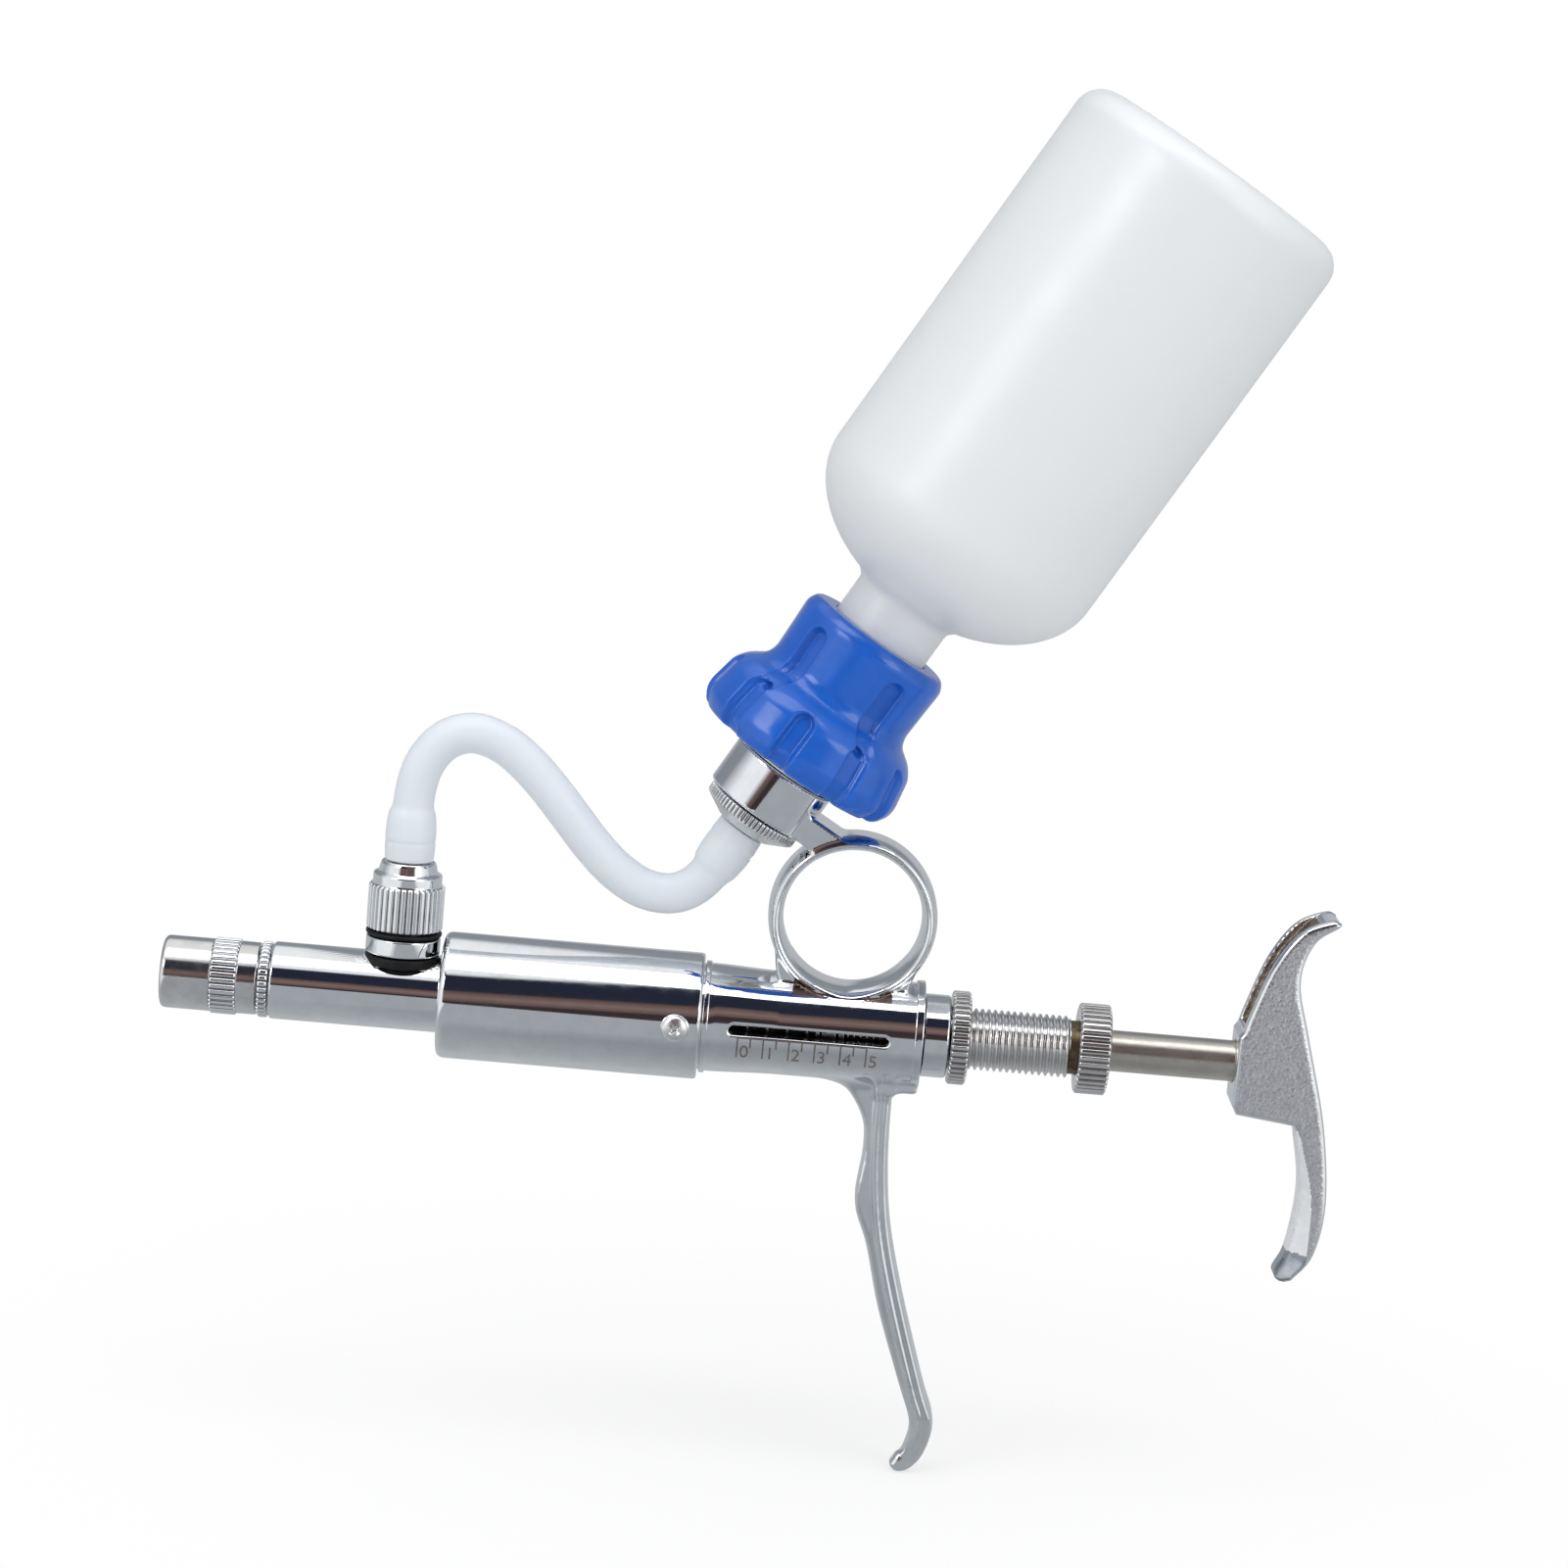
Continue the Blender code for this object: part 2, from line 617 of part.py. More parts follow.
def main_body(chrome):
    """The casting that holds everything: barrel, finger ring, bottle arm and finger lever."""
    body = turned("main_body", [
        (SPIGOT_FRONT, 0), (SPIGOT_FRONT, PLATE_R), (LEDGE_FRONT, PLATE_R), (LEDGE_FRONT, LEDGE_R),
        (BODY_FRONT, LEDGE_R), (BODY_FRONT, BODY_FRONT_R), (BODY_FRONT + BODY_TAPER_LENGTH, BODY_R),
        (BODY_REAR - REAR_BAND_LENGTH, BODY_R), (BODY_REAR - REAR_BAND_LENGTH, REAR_BAND_R),
        (BODY_REAR, REAR_BAND_R), (BODY_REAR, 0)], along_x(), chrome, FINE)
    combine(body, ring_disc(), "UNION")
    combine(body, ring_root(), "UNION")
    combine(body, finger_lever(), "UNION")
    combine(body, bottle_arm(), "UNION")
    combine(body, turned("socket_solid", drill(SOCKET_BOTTOM, SOCKET_TOP, SOCKET_R), up_bottle()),
            "UNION")
    combine(body, ring_hole(), "DIFFERENCE")
    combine(body, barrel_bore(), "DIFFERENCE")
    combine(body, turned("stud_hole", drill(SOCKET_BOTTOM - CUT, SOCKET_TOP + CUT, STUD_BORE_R),
                         up_bottle()), "DIFFERENCE")
    combine(body, dose_slot(), "DIFFERENCE")
    combine(body, screw_hole("screw_tapping"), "DIFFERENCE")


def ring_disc():
    """The finger ring before its hole is cut."""
    half = RING_WIDTH / 2
    rim = RING_R - RING_THICKNESS + RING_INNER_CROWN + RING_RIM
    crown = rim + (RING_R - rim) * 0.7
    return turned("ring_solid", [
        (-half, 0), (-half, rim), (-half * 0.6, crown), (0, RING_R), (half * 0.6, crown), (half, rim),
        (half, 0)], across(0, RING_HEIGHT), columns=FINE)


def ring_hole():
    """The finger ring's hole, narrowest in the middle, where the finger bears."""
    half = RING_WIDTH / 2
    crest = RING_R - RING_THICKNESS
    mouth = crest + RING_INNER_CROWN
    return turned("ring_hole", [
        (-half - CUT, 0), (-half - CUT, mouth + CUT), (-half, mouth),
        (-half * 0.6, crest + RING_INNER_CROWN * 0.36), (0, crest),
        (half * 0.6, crest + RING_INNER_CROWN * 0.36), (half, mouth), (half + CUT, mouth + CUT),
        (half + CUT, 0)], across(0, RING_HEIGHT), columns=FINE)


def ring_root():
    """The ring's root, which narrows along the barrel and spreads over its sides."""
    sections = []
    for share in (0, 1 / 3, 2 / 3, 1):
        height = BODY_R - ROOT_SINK + (ROOT_RISE + ROOT_SINK) * share
        length = ROOT_HALF_LENGTH - ROOT_TAPER * (1 - share) ** 2
        width = RING_WIDTH / 2 - GAP + ROOT_FLARE * (1 - share) ** 2
        section = []
        for step in range(12):
            angle = math.tau * (step + 0.5) / 12
            x, y = math.cos(angle), math.sin(angle)
            section.append(Vector((ROOT_X + math.copysign(abs(x) ** 0.5, x) * length,
                                   math.copysign(abs(y) ** 0.5, y) * width, height)))
        sections.append(section)
    return lofted("ring_root", sections)


def finger_lever():
    """The curved lever below the barrel: a web with a rib along its rear edge."""
    underside = Vector((0, -BODY_R))
    front = [point + underside for point in even_points(LEVER_FRONT, LEVER_STEPS)]
    rear = [point + underside for point in even_points(LEVER_REAR, LEVER_STEPS)]
    sections = []
    for a, b in zip(front, rear):
        back = (b - a).normalized()
        depth = min(LEVER_RIB_DEPTH, 0.45 * (b - a).length)
        nose = min(LEVER_NOSE, 0.3 * (b - a).length)
        places = [(a, LEVER_WEB / 2 - LEVER_NOSE), (a + back * nose, LEVER_WEB / 2),
                  (b - back * depth, LEVER_WEB / 2), (b - back * depth, LEVER_RIB / 2),
                  (b, LEVER_RIB / 2)]
        near = [Vector((place.x, -y, place.y)) for place, y in places]
        far = [Vector((place.x, y, place.y)) for place, y in reversed(places)]
        sections.append(near + far)
    return lofted("finger_lever", sections)


def bottle_arm():
    """The arm from the bottle's socket into the ring, whose hole trims its end."""
    middle = SOCKET_BOTTOM + ARM_HEIGHT / 2
    place = Matrix.Translation((on_bottle_axis(middle) + ACROSS_BOTTLE * RING_TO_AXIS / 2) * MM)
    return block("bottle_arm", (RING_TO_AXIS, ARM_WIDTH, ARM_HEIGHT),
                 place @ Matrix.Rotation(LEAN, 4, "Y"))


def barrel_bore():
    """The barrel's bore: rod guide's pilot, spring room and rear bush's seat."""
    return turned("barrel_bore", [
        (SPIGOT_FRONT - CUT, 0), (SPIGOT_FRONT - CUT, PILOT_BORE_R),
        (SPIGOT_FRONT + PILOT_DEPTH, PILOT_BORE_R), (SPIGOT_FRONT + PILOT_DEPTH, BODY_BORE_R),
        (BODY_REAR - BUSH_SEAT_DEPTH, BODY_BORE_R), (BODY_REAR - BUSH_SEAT_DEPTH, BUSH_SEAT_R),
        (BODY_REAR + CUT, BUSH_SEAT_R), (BODY_REAR + CUT, 0)], along_x(), columns=FINE)


def dose_slot():
    """The window with round ends that lets the dose be read, cut through the near wall only."""
    radius = SLOT_WIDTH / 2
    outline = []
    for middle, start in ((SLOT_REAR - radius, -90), (SLOT_REAR - SLOT_LENGTH + radius, 90)):
        for step in range(7):
            angle = math.radians(start + 30 * step)
            outline.append((middle + radius * math.cos(angle), radius * math.sin(angle)))
    slot = plate("dose_slot", outline, BODY_R + CUT)
    slot.location.y = -(BODY_R + CUT) / 2 * MM
    return slot


def screw_hole(name, clearance=GAP):
    """The hole for the casing's screw, blind in the barrel's spigot."""
    tip = CASING_R + GAP - SCREW_REACH - GAP
    return turned(name, drill(-CASING_R - CUT, -tip, SCREW_SHANK_R + clearance),
                  across(LEDGE_FRONT - SCREW_FROM_LEDGE, 0), columns=SMALL)


def casing(chrome):
    """The sleeve over the glass cylinder, closed at the front round the valve head."""
    corner = [(CASING_FRONT + CASING_ROUND * (1 - math.sin(math.radians(angle))),
               CASING_R - CASING_ROUND * (1 - math.cos(math.radians(angle)))) for angle in (90, 45, 0)]
    profile = [(CASING_FRONT, TUBE_R + GAP)] + corner
    profile += [(CASING_REAR - CASING_RIM, CASING_R), (CASING_REAR, CASING_R - CASING_RIM),
                (CASING_REAR, CASING_BORE_R), (CASING_INSIDE, CASING_BORE_R),
                (CASING_INSIDE, TUBE_R + GAP)]
    combine(turned("casing", profile, along_x(), chrome, FINE), screw_hole("casing_hole"),
            "DIFFERENCE")


def casing_screw(steel):
    """The cross-head screw that holds the casing on the barrel's spigot."""
    seat = -CASING_R - GAP
    place = across(LEDGE_FRONT - SCREW_FROM_LEDGE, 0)
    top = seat - SCREW_HEAD_HEIGHT
    screw = turned("casing_screw", [
        (top, 0), (top, SCREW_HEAD_R * 0.6), (seat - SCREW_HEAD_HEIGHT * 0.5, SCREW_HEAD_R),
        (seat, SCREW_HEAD_R), (seat, SCREW_SHANK_R), (seat + SCREW_REACH, SCREW_SHANK_R),
        (seat + SCREW_REACH, 0)], place, steel, SMALL)
    for index, size in enumerate(((RECESS_SPAN, RECESS_WIDTH), (RECESS_WIDTH, RECESS_SPAN))):
        slot = block(f"recess_{index}", (*size, 2 * RECESS_DEPTH),
                     place @ Matrix.Translation((0, 0, top * MM)))
        combine(screw, slot, "DIFFERENCE")


def valve_head(chrome):
    """The front tube: flange in the casing, inlet port on top and outlet seat in front."""
    head = turned("valve_head", [
        (OUTLET_FACE, VALVE_SEAT_R), (OUTLET_FACE, OUTLET_SPIGOT_R), (TUBE_FRONT, OUTLET_SPIGOT_R),
        (TUBE_FRONT, TUBE_R), (HEAD_FLANGE_FRONT, TUBE_R), (HEAD_FLANGE_FRONT, PLATE_R),
        (HEAD_REAR, PLATE_R), (HEAD_REAR, TUBE_BORE_R), (OUTLET_FACE + VALVE_SEAT_LENGTH, TUBE_BORE_R),
        (OUTLET_FACE + VALVE_SEAT_LENGTH, VALVE_SEAT_R)], along_x(), chrome, FINE)
    tapping_floor = INLET_SPIGOT_BOTTOM - GAP
    seat = turned("inlet_seat", [
        (0, 0), (0, PORT_R), (tapping_floor, PORT_R), (tapping_floor, INLET_THREAD_R + GAP),
        (INLET_FLAT, INLET_THREAD_R + GAP), (INLET_FLAT, GASKET_R + GAP),
        (TUBE_R + CUT, GASKET_R + GAP), (TUBE_R + CUT, 0)], up_inlet())
    combine(head, seat, "DIFFERENCE")


def outlet(chrome, brass, steel):
    """Lock ring, needle nut, needle cone with its ball cage, ball and spring."""
    knurled("lock_ring", chamfered_ring(LOCK_RING_FRONT, LOCK_RING_REAR, SPIGOT_CLEAR_R, RING_KNURL_R),
            (LOCK_RING_FRONT, LOCK_RING_REAR, NUT_R), along_x(), chrome)
    band_rear = NUT_REAR - NUT_BAND_FROM_REAR
    band_front = band_rear - NUT_BAND_LENGTH
    knurled("needle_nut", [
        (NUT_FRONT, NUT_SOCKET_R), (NUT_FRONT, NUT_R - NUT_ROUND),
        (NUT_FRONT + NUT_ROUND * 0.3, NUT_R - NUT_ROUND * 0.3), (NUT_FRONT + NUT_ROUND, NUT_R),
        (band_front, NUT_R), (band_front, NUT_BAND_R), (band_rear, NUT_BAND_R), (band_rear, NUT_R),
        (NUT_REAR, NUT_R), (NUT_REAR, SPIGOT_CLEAR_R), (NUT_WEB_REAR, SPIGOT_CLEAR_R),
        (NUT_WEB_REAR, CONE_NECK_R + GAP), (NUT_SOCKET_FLOOR, CONE_NECK_R + GAP),
        (NUT_SOCKET_FLOOR, NUT_SOCKET_R)],
        (band_front, band_rear, (NUT_R + NUT_BAND_R) / 2), along_x(), chrome)
    turned("needle_cone", [
        (CONE_BASE - CONE_LENGTH, CONE_BORE_R), (CONE_BASE - CONE_LENGTH, CONE_TIP_R),
        (CONE_BASE, CONE_BASE_R), (CONE_BASE, CONE_NECK_R), (CONE_FLANGE_FRONT, CONE_NECK_R),
        (CONE_FLANGE_FRONT, OUTLET_SPIGOT_R), (CONE_FLANGE_REAR, OUTLET_SPIGOT_R),
        (CONE_FLANGE_REAR, CAGE_R), (CAGE_REAR, CAGE_R), (CAGE_REAR, CAGE_BORE_R),
        (CONE_FLANGE_REAR, CAGE_BORE_R), (CONE_FLANGE_REAR, CONE_BORE_R)], along_x(), brass)
    ball("outlet_ball", along_x(OUTLET_BALL_X), steel)
    coil_spring("outlet_spring", CONE_FLANGE_REAR + GAP, OUTLET_BALL_X - valve_spring_reach(),
                VALVE_SPRING_R, VALVE_WIRE, VALVE_TURNS, along_x(), steel)


def inlet(chrome, brass, rubber, steel):
    """What stands on the valve head and lets the dose in from the hose."""
    turned("inlet_gasket", chamfered_ring(GASKET_BOTTOM, GASKET_BOTTOM + GASKET_THICKNESS,
                                          INLET_THREAD_R + GAP, GASKET_R), up_inlet(), rubber)
    turned("inlet_valve_body", [
        (INLET_SPIGOT_BOTTOM, VALVE_SEAT_R), (INLET_SPIGOT_BOTTOM, INLET_THREAD_R),
        (VALVE_BODY_BOTTOM, INLET_THREAD_R), (VALVE_BODY_BOTTOM, VALVE_BODY_R),
        (VALVE_BODY_TOP, VALVE_BODY_R), (VALVE_BODY_TOP, VALVE_BODY_NECK_R),
        (NECK_TOP, VALVE_BODY_NECK_R), (NECK_TOP, CHAMBER_R), (CHAMBER_BOTTOM, CHAMBER_R),
        (CHAMBER_BOTTOM, VALVE_SEAT_R)], up_inlet(), chrome)
    ball("inlet_ball", up_inlet(INLET_BALL_Z), steel)
    coil_spring("inlet_spring", CHAMBER_BOTTOM + GAP, INLET_BALL_Z - valve_spring_reach(),
                VALVE_SPRING_R, VALVE_WIRE, VALVE_TURNS, up_inlet(), steel)
    turned("inlet_o_ring", [
        (O_RING_BOTTOM, VALVE_BODY_NECK_R + GAP), (O_RING_BOTTOM, O_RING_R - O_RING_HEIGHT / 4),
        (O_RING_BOTTOM + O_RING_HEIGHT / 2, O_RING_R),
        (O_RING_BOTTOM + O_RING_HEIGHT, O_RING_R - O_RING_HEIGHT / 4),
        (O_RING_BOTTOM + O_RING_HEIGHT, VALVE_BODY_NECK_R + GAP)], up_inlet(), rubber)
    grip_top = INLET_NUT_BOTTOM + INLET_NUT_GRIP
    step_top = grip_top + INLET_NUT_STEP
    web = INLET_NUT_TOP - INLET_NUT_WEB
    knurled("inlet_nut", [
        (INLET_NUT_BOTTOM, VALVE_BODY_NECK_R + GAP), (INLET_NUT_BOTTOM, INLET_NUT_R - EDGE_CHAMFER),
        (INLET_NUT_BOTTOM + EDGE_CHAMFER, INLET_NUT_R), (grip_top, INLET_NUT_R),
        (grip_top + EDGE_CHAMFER, INLET_NUT_STEP_R), (step_top, INLET_NUT_STEP_R),
        (INLET_NUT_TOP - EDGE_CHAMFER, INLET_NUT_TOP_R), (INLET_NUT_TOP, INLET_NUT_TOP_R),
        (INLET_NUT_TOP, BARB_STEM_R + GAP), (web, BARB_STEM_R + GAP), (web, VALVE_BODY_NECK_R + GAP)],
        (INLET_NUT_BOTTOM + EDGE_CHAMFER / 2, grip_top, INLET_NUT_R - EDGE_CHAMFER / 2),
        up_inlet(), chrome)
    turned("inlet_barb", [
        (INLET_FLANGE_BOTTOM, VALVE_SEAT_R), (INLET_FLANGE_BOTTOM, VALVE_BODY_NECK_R),
        (INLET_FLANGE_TOP, VALVE_BODY_NECK_R), (INLET_FLANGE_TOP, BARB_STEM_R)]
        + barb(HOSE_START, 1) + [
        (HOSE_START + BARB_LENGTH, BARB_BORE_R), (INLET_FLANGE_BOTTOM + VALVE_SEAT_LENGTH, BARB_BORE_R),
        (INLET_FLANGE_BOTTOM + VALVE_SEAT_LENGTH, VALVE_SEAT_R)], up_inlet(), brass)


def hose(plastic):
    """The feed hose, swollen where it is pushed over the barbs."""
    end = on_bottle_axis(HOSE_END).xz
    away = on_bottle_axis(HOSE_END - HOSE_STRAIGHT_AT_FITTING).xz
    route = [(INLET_X, HOSE_START), (INLET_X, HOSE_START + HOSE_STRAIGHT_AT_INLET)]
    route += HOSE_ROUTE + [away, end]
    length = sum((b - a).length for a, b in zip(smooth_points(route, 12), smooth_points(route, 12)[1:]))
    count = round(length / HOSE_STEP) + 1
    places = even_points(route, count)
    step = length / (count - 1)
    on_barb = [min(index, count - 1 - index) * step < BARB_LENGTH + step for index in range(count)]
    print(f"hose: {length:.1f} mm long, a point every {step:.1f} mm")
    bore_on_barb = BARB_R + GAP
    outer_on_barb = bore_on_barb + HOSE_WALL_ON_BARB
    points = [(place.x, 0, place.y) for place in places]
    outside = tube_curve("hose", points, HOSE_R, 2,
                         [outer_on_barb / HOSE_R if held else 1.0 for held in on_barb])
    first = Vector(points[0]) + (Vector(points[0]) - Vector(points[1])).normalized() * CUT
    last = Vector(points[-1]) + (Vector(points[-1]) - Vector(points[-2])).normalized() * CUT
    held_bore = bore_on_barb / HOSE_BORE_R
    inside = tube_curve("hose_bore", [first] + points + [last], HOSE_BORE_R, 2,
                        [held_bore] + [held_bore if held else 1.0 for held in on_barb] + [held_bore])
    combine(as_mesh(outside, plastic), as_mesh(inside), "DIFFERENCE")


def cylinder_and_plunger(glass, rubber, chrome, nickel, steel):
    """The glass cylinder with its seals and guide, and the plunger that runs in it."""
    turned("front_seal", ring(FRONT_SEAL_FRONT, FRONT_SEAL_FRONT + SEAL_THICKNESS,
                              PLATE_R - SEAL_WIDTH, PLATE_R), along_x(), rubber)
    turned("glass_cylinder", ring(GLASS_FRONT, GLASS_REAR, GLASS_BORE_R, GLASS_BORE_R + GLASS_WALL),
           along_x(), glass, FINE)
    turned("rear_seal", ring(REAR_SEAL_FRONT, REAR_SEAL_REAR, PLATE_R - SEAL_WIDTH, PLATE_R),
           along_x(), rubber)
    pilot_r = PILOT_BORE_R - GAP
    pilot_rear = GUIDE_SEAT + GUIDE_PILOT_LENGTH
    turned("rod_guide", [
        (GUIDE_FRONT, ROD_BORE_R), (GUIDE_FRONT, PLATE_R), (GUIDE_SEAT, PLATE_R), (GUIDE_SEAT, pilot_r),
        (pilot_rear, pilot_r), (pilot_rear, pilot_r - GUIDE_PILOT_WALL),
        (GUIDE_SEAT, pilot_r - GUIDE_PILOT_WALL), (GUIDE_SEAT, ROD_BORE_R)], along_x(), chrome)
    piston(rubber, chrome)
    tail = PALM_FRONT + ROD_IN_PALM
    turned("piston_rod", [
        (PISTON_REAR - ROD_SPIGOT_LENGTH, 0), (PISTON_REAR - ROD_SPIGOT_LENGTH, ROD_SPIGOT_R),
        (PISTON_REAR + GAP, ROD_SPIGOT_R), (PISTON_REAR + GAP, ROD_R), (tail - EDGE_CHAMFER, ROD_R),
        (tail, ROD_R - EDGE_CHAMFER), (tail, 0)], along_x(), nickel)
    turned("stop_collar", chamfered_ring(COLLAR_FRONT, COLLAR_REAR, ROD_R + GAP, COLLAR_R),
           along_x(), steel)
    turned("spring_washer", ring(WASHER_FRONT, WASHER_REAR, ROD_R + GAP, WASHER_R), along_x(), steel)
    coil_spring("return_spring", GUIDE_SEAT + GAP, WASHER_FRONT - GAP, SPRING_R, SPRING_WIRE,
                SPRING_TURNS, along_x(), steel)


def piston(rubber, chrome):
    """The piston with a groove near each end, and the ring in each groove."""
    floor = PISTON_R - PISTON_GROOVE_DEPTH
    profile = [(PISTON_FRONT, 0), (PISTON_FRONT, PISTON_R)]
    seats = (PISTON_FRONT + PISTON_RING_INSET,
             PISTON_REAR - PISTON_RING_INSET - PISTON_RING_WIDTH - 2 * GAP)
    for name, seat in zip(("piston_ring_front", "piston_ring_rear"), seats):
        far = seat + PISTON_RING_WIDTH + 2 * GAP
        profile += [(seat, PISTON_R), (seat, floor), (far, floor), (far, PISTON_R)]
        turned(name, [
            (seat + GAP, floor + GAP), (seat + GAP, PISTON_R),
            (seat + GAP + PISTON_RING_WIDTH / 2, GLASS_BORE_R - RUN),
            (far - GAP, PISTON_R), (far - GAP, floor + GAP)], along_x(), rubber)
    profile += [(PISTON_REAR, PISTON_R), (PISTON_REAR, ROD_SPIGOT_R + GAP),
                (PISTON_REAR - ROD_SPIGOT_LENGTH - GAP, ROD_SPIGOT_R + GAP),
                (PISTON_REAR - ROD_SPIGOT_LENGTH - GAP, 0)]
    turned("piston", profile, along_x(), chrome)


def dose_setting(chrome, steel):
    """The bush, nut, threaded sleeve and knob that set how far the plunger returns."""
    turned("rear_bush", [
        (BUSH_FRONT, THREAD_BORE_R), (BUSH_FRONT, BUSH_SEAT_R - GAP), (BUSH_SHOULDER, BUSH_SEAT_R - GAP),
        (BUSH_SHOULDER, BUSH_R), (BUSH_REAR - EDGE_CHAMFER, BUSH_R), (BUSH_REAR, BUSH_R - EDGE_CHAMFER),
        (BUSH_REAR, THREAD_BORE_R)], along_x(), chrome)
    knurled("lock_nut", chamfered_ring(LOCK_NUT_FRONT, LOCK_NUT_REAR, THREAD_BORE_R, LOCK_NUT_R),
            (LOCK_NUT_FRONT, LOCK_NUT_REAR, LOCK_NUT_R - EDGE_CHAMFER / 2), along_x(), chrome)
    turned("thrust_ring", ring(THRUST_FRONT, THRUST_REAR, ROD_R + GAP, BODY_BORE_R - GAP), along_x(),
           steel)
    dose_sleeve(chrome)
    knurled("dose_knob", chamfered_ring(KNOB_FRONT, KNOB_REAR, KNOB_NECK_R + GAP, KNOB_R),
            (KNOB_FRONT, KNOB_REAR, KNOB_R - EDGE_CHAMFER / 2), along_x(), chrome)


def dose_sleeve(chrome):
    """The bored sleeve with its real thread, and the neck that carries the knob.

    The thread is one strip: its crest and root climb half a pitch apart, so that a row that has gone
    once round meets the row two places further on.
    """
    n = THREAD_COLUMNS
    top = 2 * (THREAD_TURNS - 1)
    start = THREAD_END - THREAD_PITCH * THREAD_TURNS
    bm = bmesh.new()

    def vert(column, station, radius):
        angle = math.tau * column / n
        return bm.verts.new((radius * math.cos(angle) * MM, radius * math.sin(angle) * MM, station * MM))

    def thread_vert(column, row):
        station = start + THREAD_PITCH * (column / n + row / 2)
        return vert(column, station, THREAD_R if row % 2 else THREAD_ROOT_R)

    helix = [[thread_vert(column, row) for row in range(top + (1 if column else 3))]
             for column in range(n)]
    helix.append(helix[0][2:])
    first = [helix[0][0]] + [vert(column, start, THREAD_ROOT_R) for column in range(1, n)] + [helix[0][0]]
    last = [helix[n][top]] + [vert(column, THREAD_END, THREAD_ROOT_R) for column in range(1, n)]
    last.append(helix[n][top])
    for column in range(n):
        lane, beside = helix[column], helix[column + 1]
        for row in range(top):
            bm.faces.new((lane[row], beside[row], beside[row + 1], lane[row + 1]))
        below = [first[column], first[column + 1], beside[0], lane[0]]
        above = [lane[top], beside[top], last[column + 1], last[column]]
        for corners in (below, above):
            bm.faces.new(dict.fromkeys(corners))
    bm.faces.new(helix[0][:3])
    bm.faces.new(helix[0][-3:])
    rows = [first[:n]]
    for station, radius in ((SLEEVE_FRONT, THREAD_ROOT_R), (SLEEVE_FRONT, ROD_R + GAP),
                            (KNOB_REAR, ROD_R + GAP), (KNOB_REAR, KNOB_NECK_R),
                            (THREAD_END, KNOB_NECK_R)):
        rows.append([vert(column, station, radius) for column in range(n)])
    rows.append(last[:n])
    for row, following in zip(rows, rows[1:]):
        for column in range(n):
            after = (column + 1) % n
            bm.faces.new((row[column], row[after], following[after], following[column]))
    make_object("dose_sleeve", bm, along_x(), chrome)


def palm_rest(chrome):
    """The curved rest for the palm, with a blind hole for the rod."""
    front = smooth_points(PALM_HORN, CURVE_STEPS) + [Vector(point) for point in PALM_BLOCK]
    front += smooth_points(PALM_HOOK, CURVE_STEPS) + [Vector(point) for point in PALM_TOE]
    outline = [(PALM_FRONT + x, z) for x, z in front + smooth_points(PALM_BACK, CURVE_STEPS)]
    rest = plate("palm_rest", outline, PALM_WIDTH, chrome, PALM_ROUND)
    hole = turned("palm_hole", drill(PALM_FRONT - CUT, PALM_FRONT + ROD_IN_PALM + GAP, ROD_R + GAP),
                  along_x())
    combine(rest, hole, "DIFFERENCE")


def hose_fitting(chrome):
    """The knurled fitting under the socket, with its stud up into the cap and its barb for the hose."""
    knurled("hose_fitting", [
        (STUD_TOP, BARB_BORE_R), (STUD_TOP, STUD_R), (FITTING_TOP, STUD_R), (FITTING_TOP, FITTING_R),
        (FITTING_CONE_TOP, FITTING_R), (FITTING_BOTTOM, FITTING_CONE_R), (FITTING_BOTTOM, BARB_STEM_R)]
        + barb(HOSE_END, -1)[1:] + [(HOSE_END - BARB_LENGTH, BARB_BORE_R)],
        (FITTING_CONE_TOP, FITTING_TOP, FITTING_R - KNURL_DEPTH), up_bottle(), chrome)


def cap_fittings(rubber, chrome):
    """The gasket on the socket, the nut that clamps the cap, and the seal that the bottle meets."""
    turned("socket_gasket", ring(SOCKET_GASKET_BOTTOM, SOCKET_GASKET_BOTTOM + SOCKET_GASKET_THICKNESS,
                                 STUD_BORE_R, SOCKET_GASKET_R), up_bottle(), rubber)
    nut_top = CAP_NUT_BOTTOM + CAP_NUT_HEIGHT
    nut = turned("cap_nut", drill(CAP_NUT_BOTTOM, nut_top, CAP_NUT_R), up_bottle(), chrome, 6)
    combine(nut, turned("cap_nut_hole", drill(CAP_NUT_BOTTOM - CUT, nut_top + CUT, STUD_BORE_R),
                        up_bottle()), "DIFFERENCE")
    turned("bottle_seal", ring(BOTTLE_SEAL_BOTTOM, BOTTLE_SEAL_BOTTOM + BOTTLE_SEAL_THICKNESS,
                               BOTTLE_SEAL_BORE_R, NECK_R), up_bottle(), rubber)


def groove(angle, radius, lobes, phase):
    """How deep the grip groove nearest to an angle about the cap is there."""
    pitch = math.tau / lobes
    away = (angle - math.radians(phase) + pitch / 2) % pitch - pitch / 2
    across_groove = abs(away) * radius / (CAP_GROOVE_WIDTH / 2)
    return CAP_GROOVE_DEPTH * math.sqrt(max(0.0, 1 - across_groove ** 2))


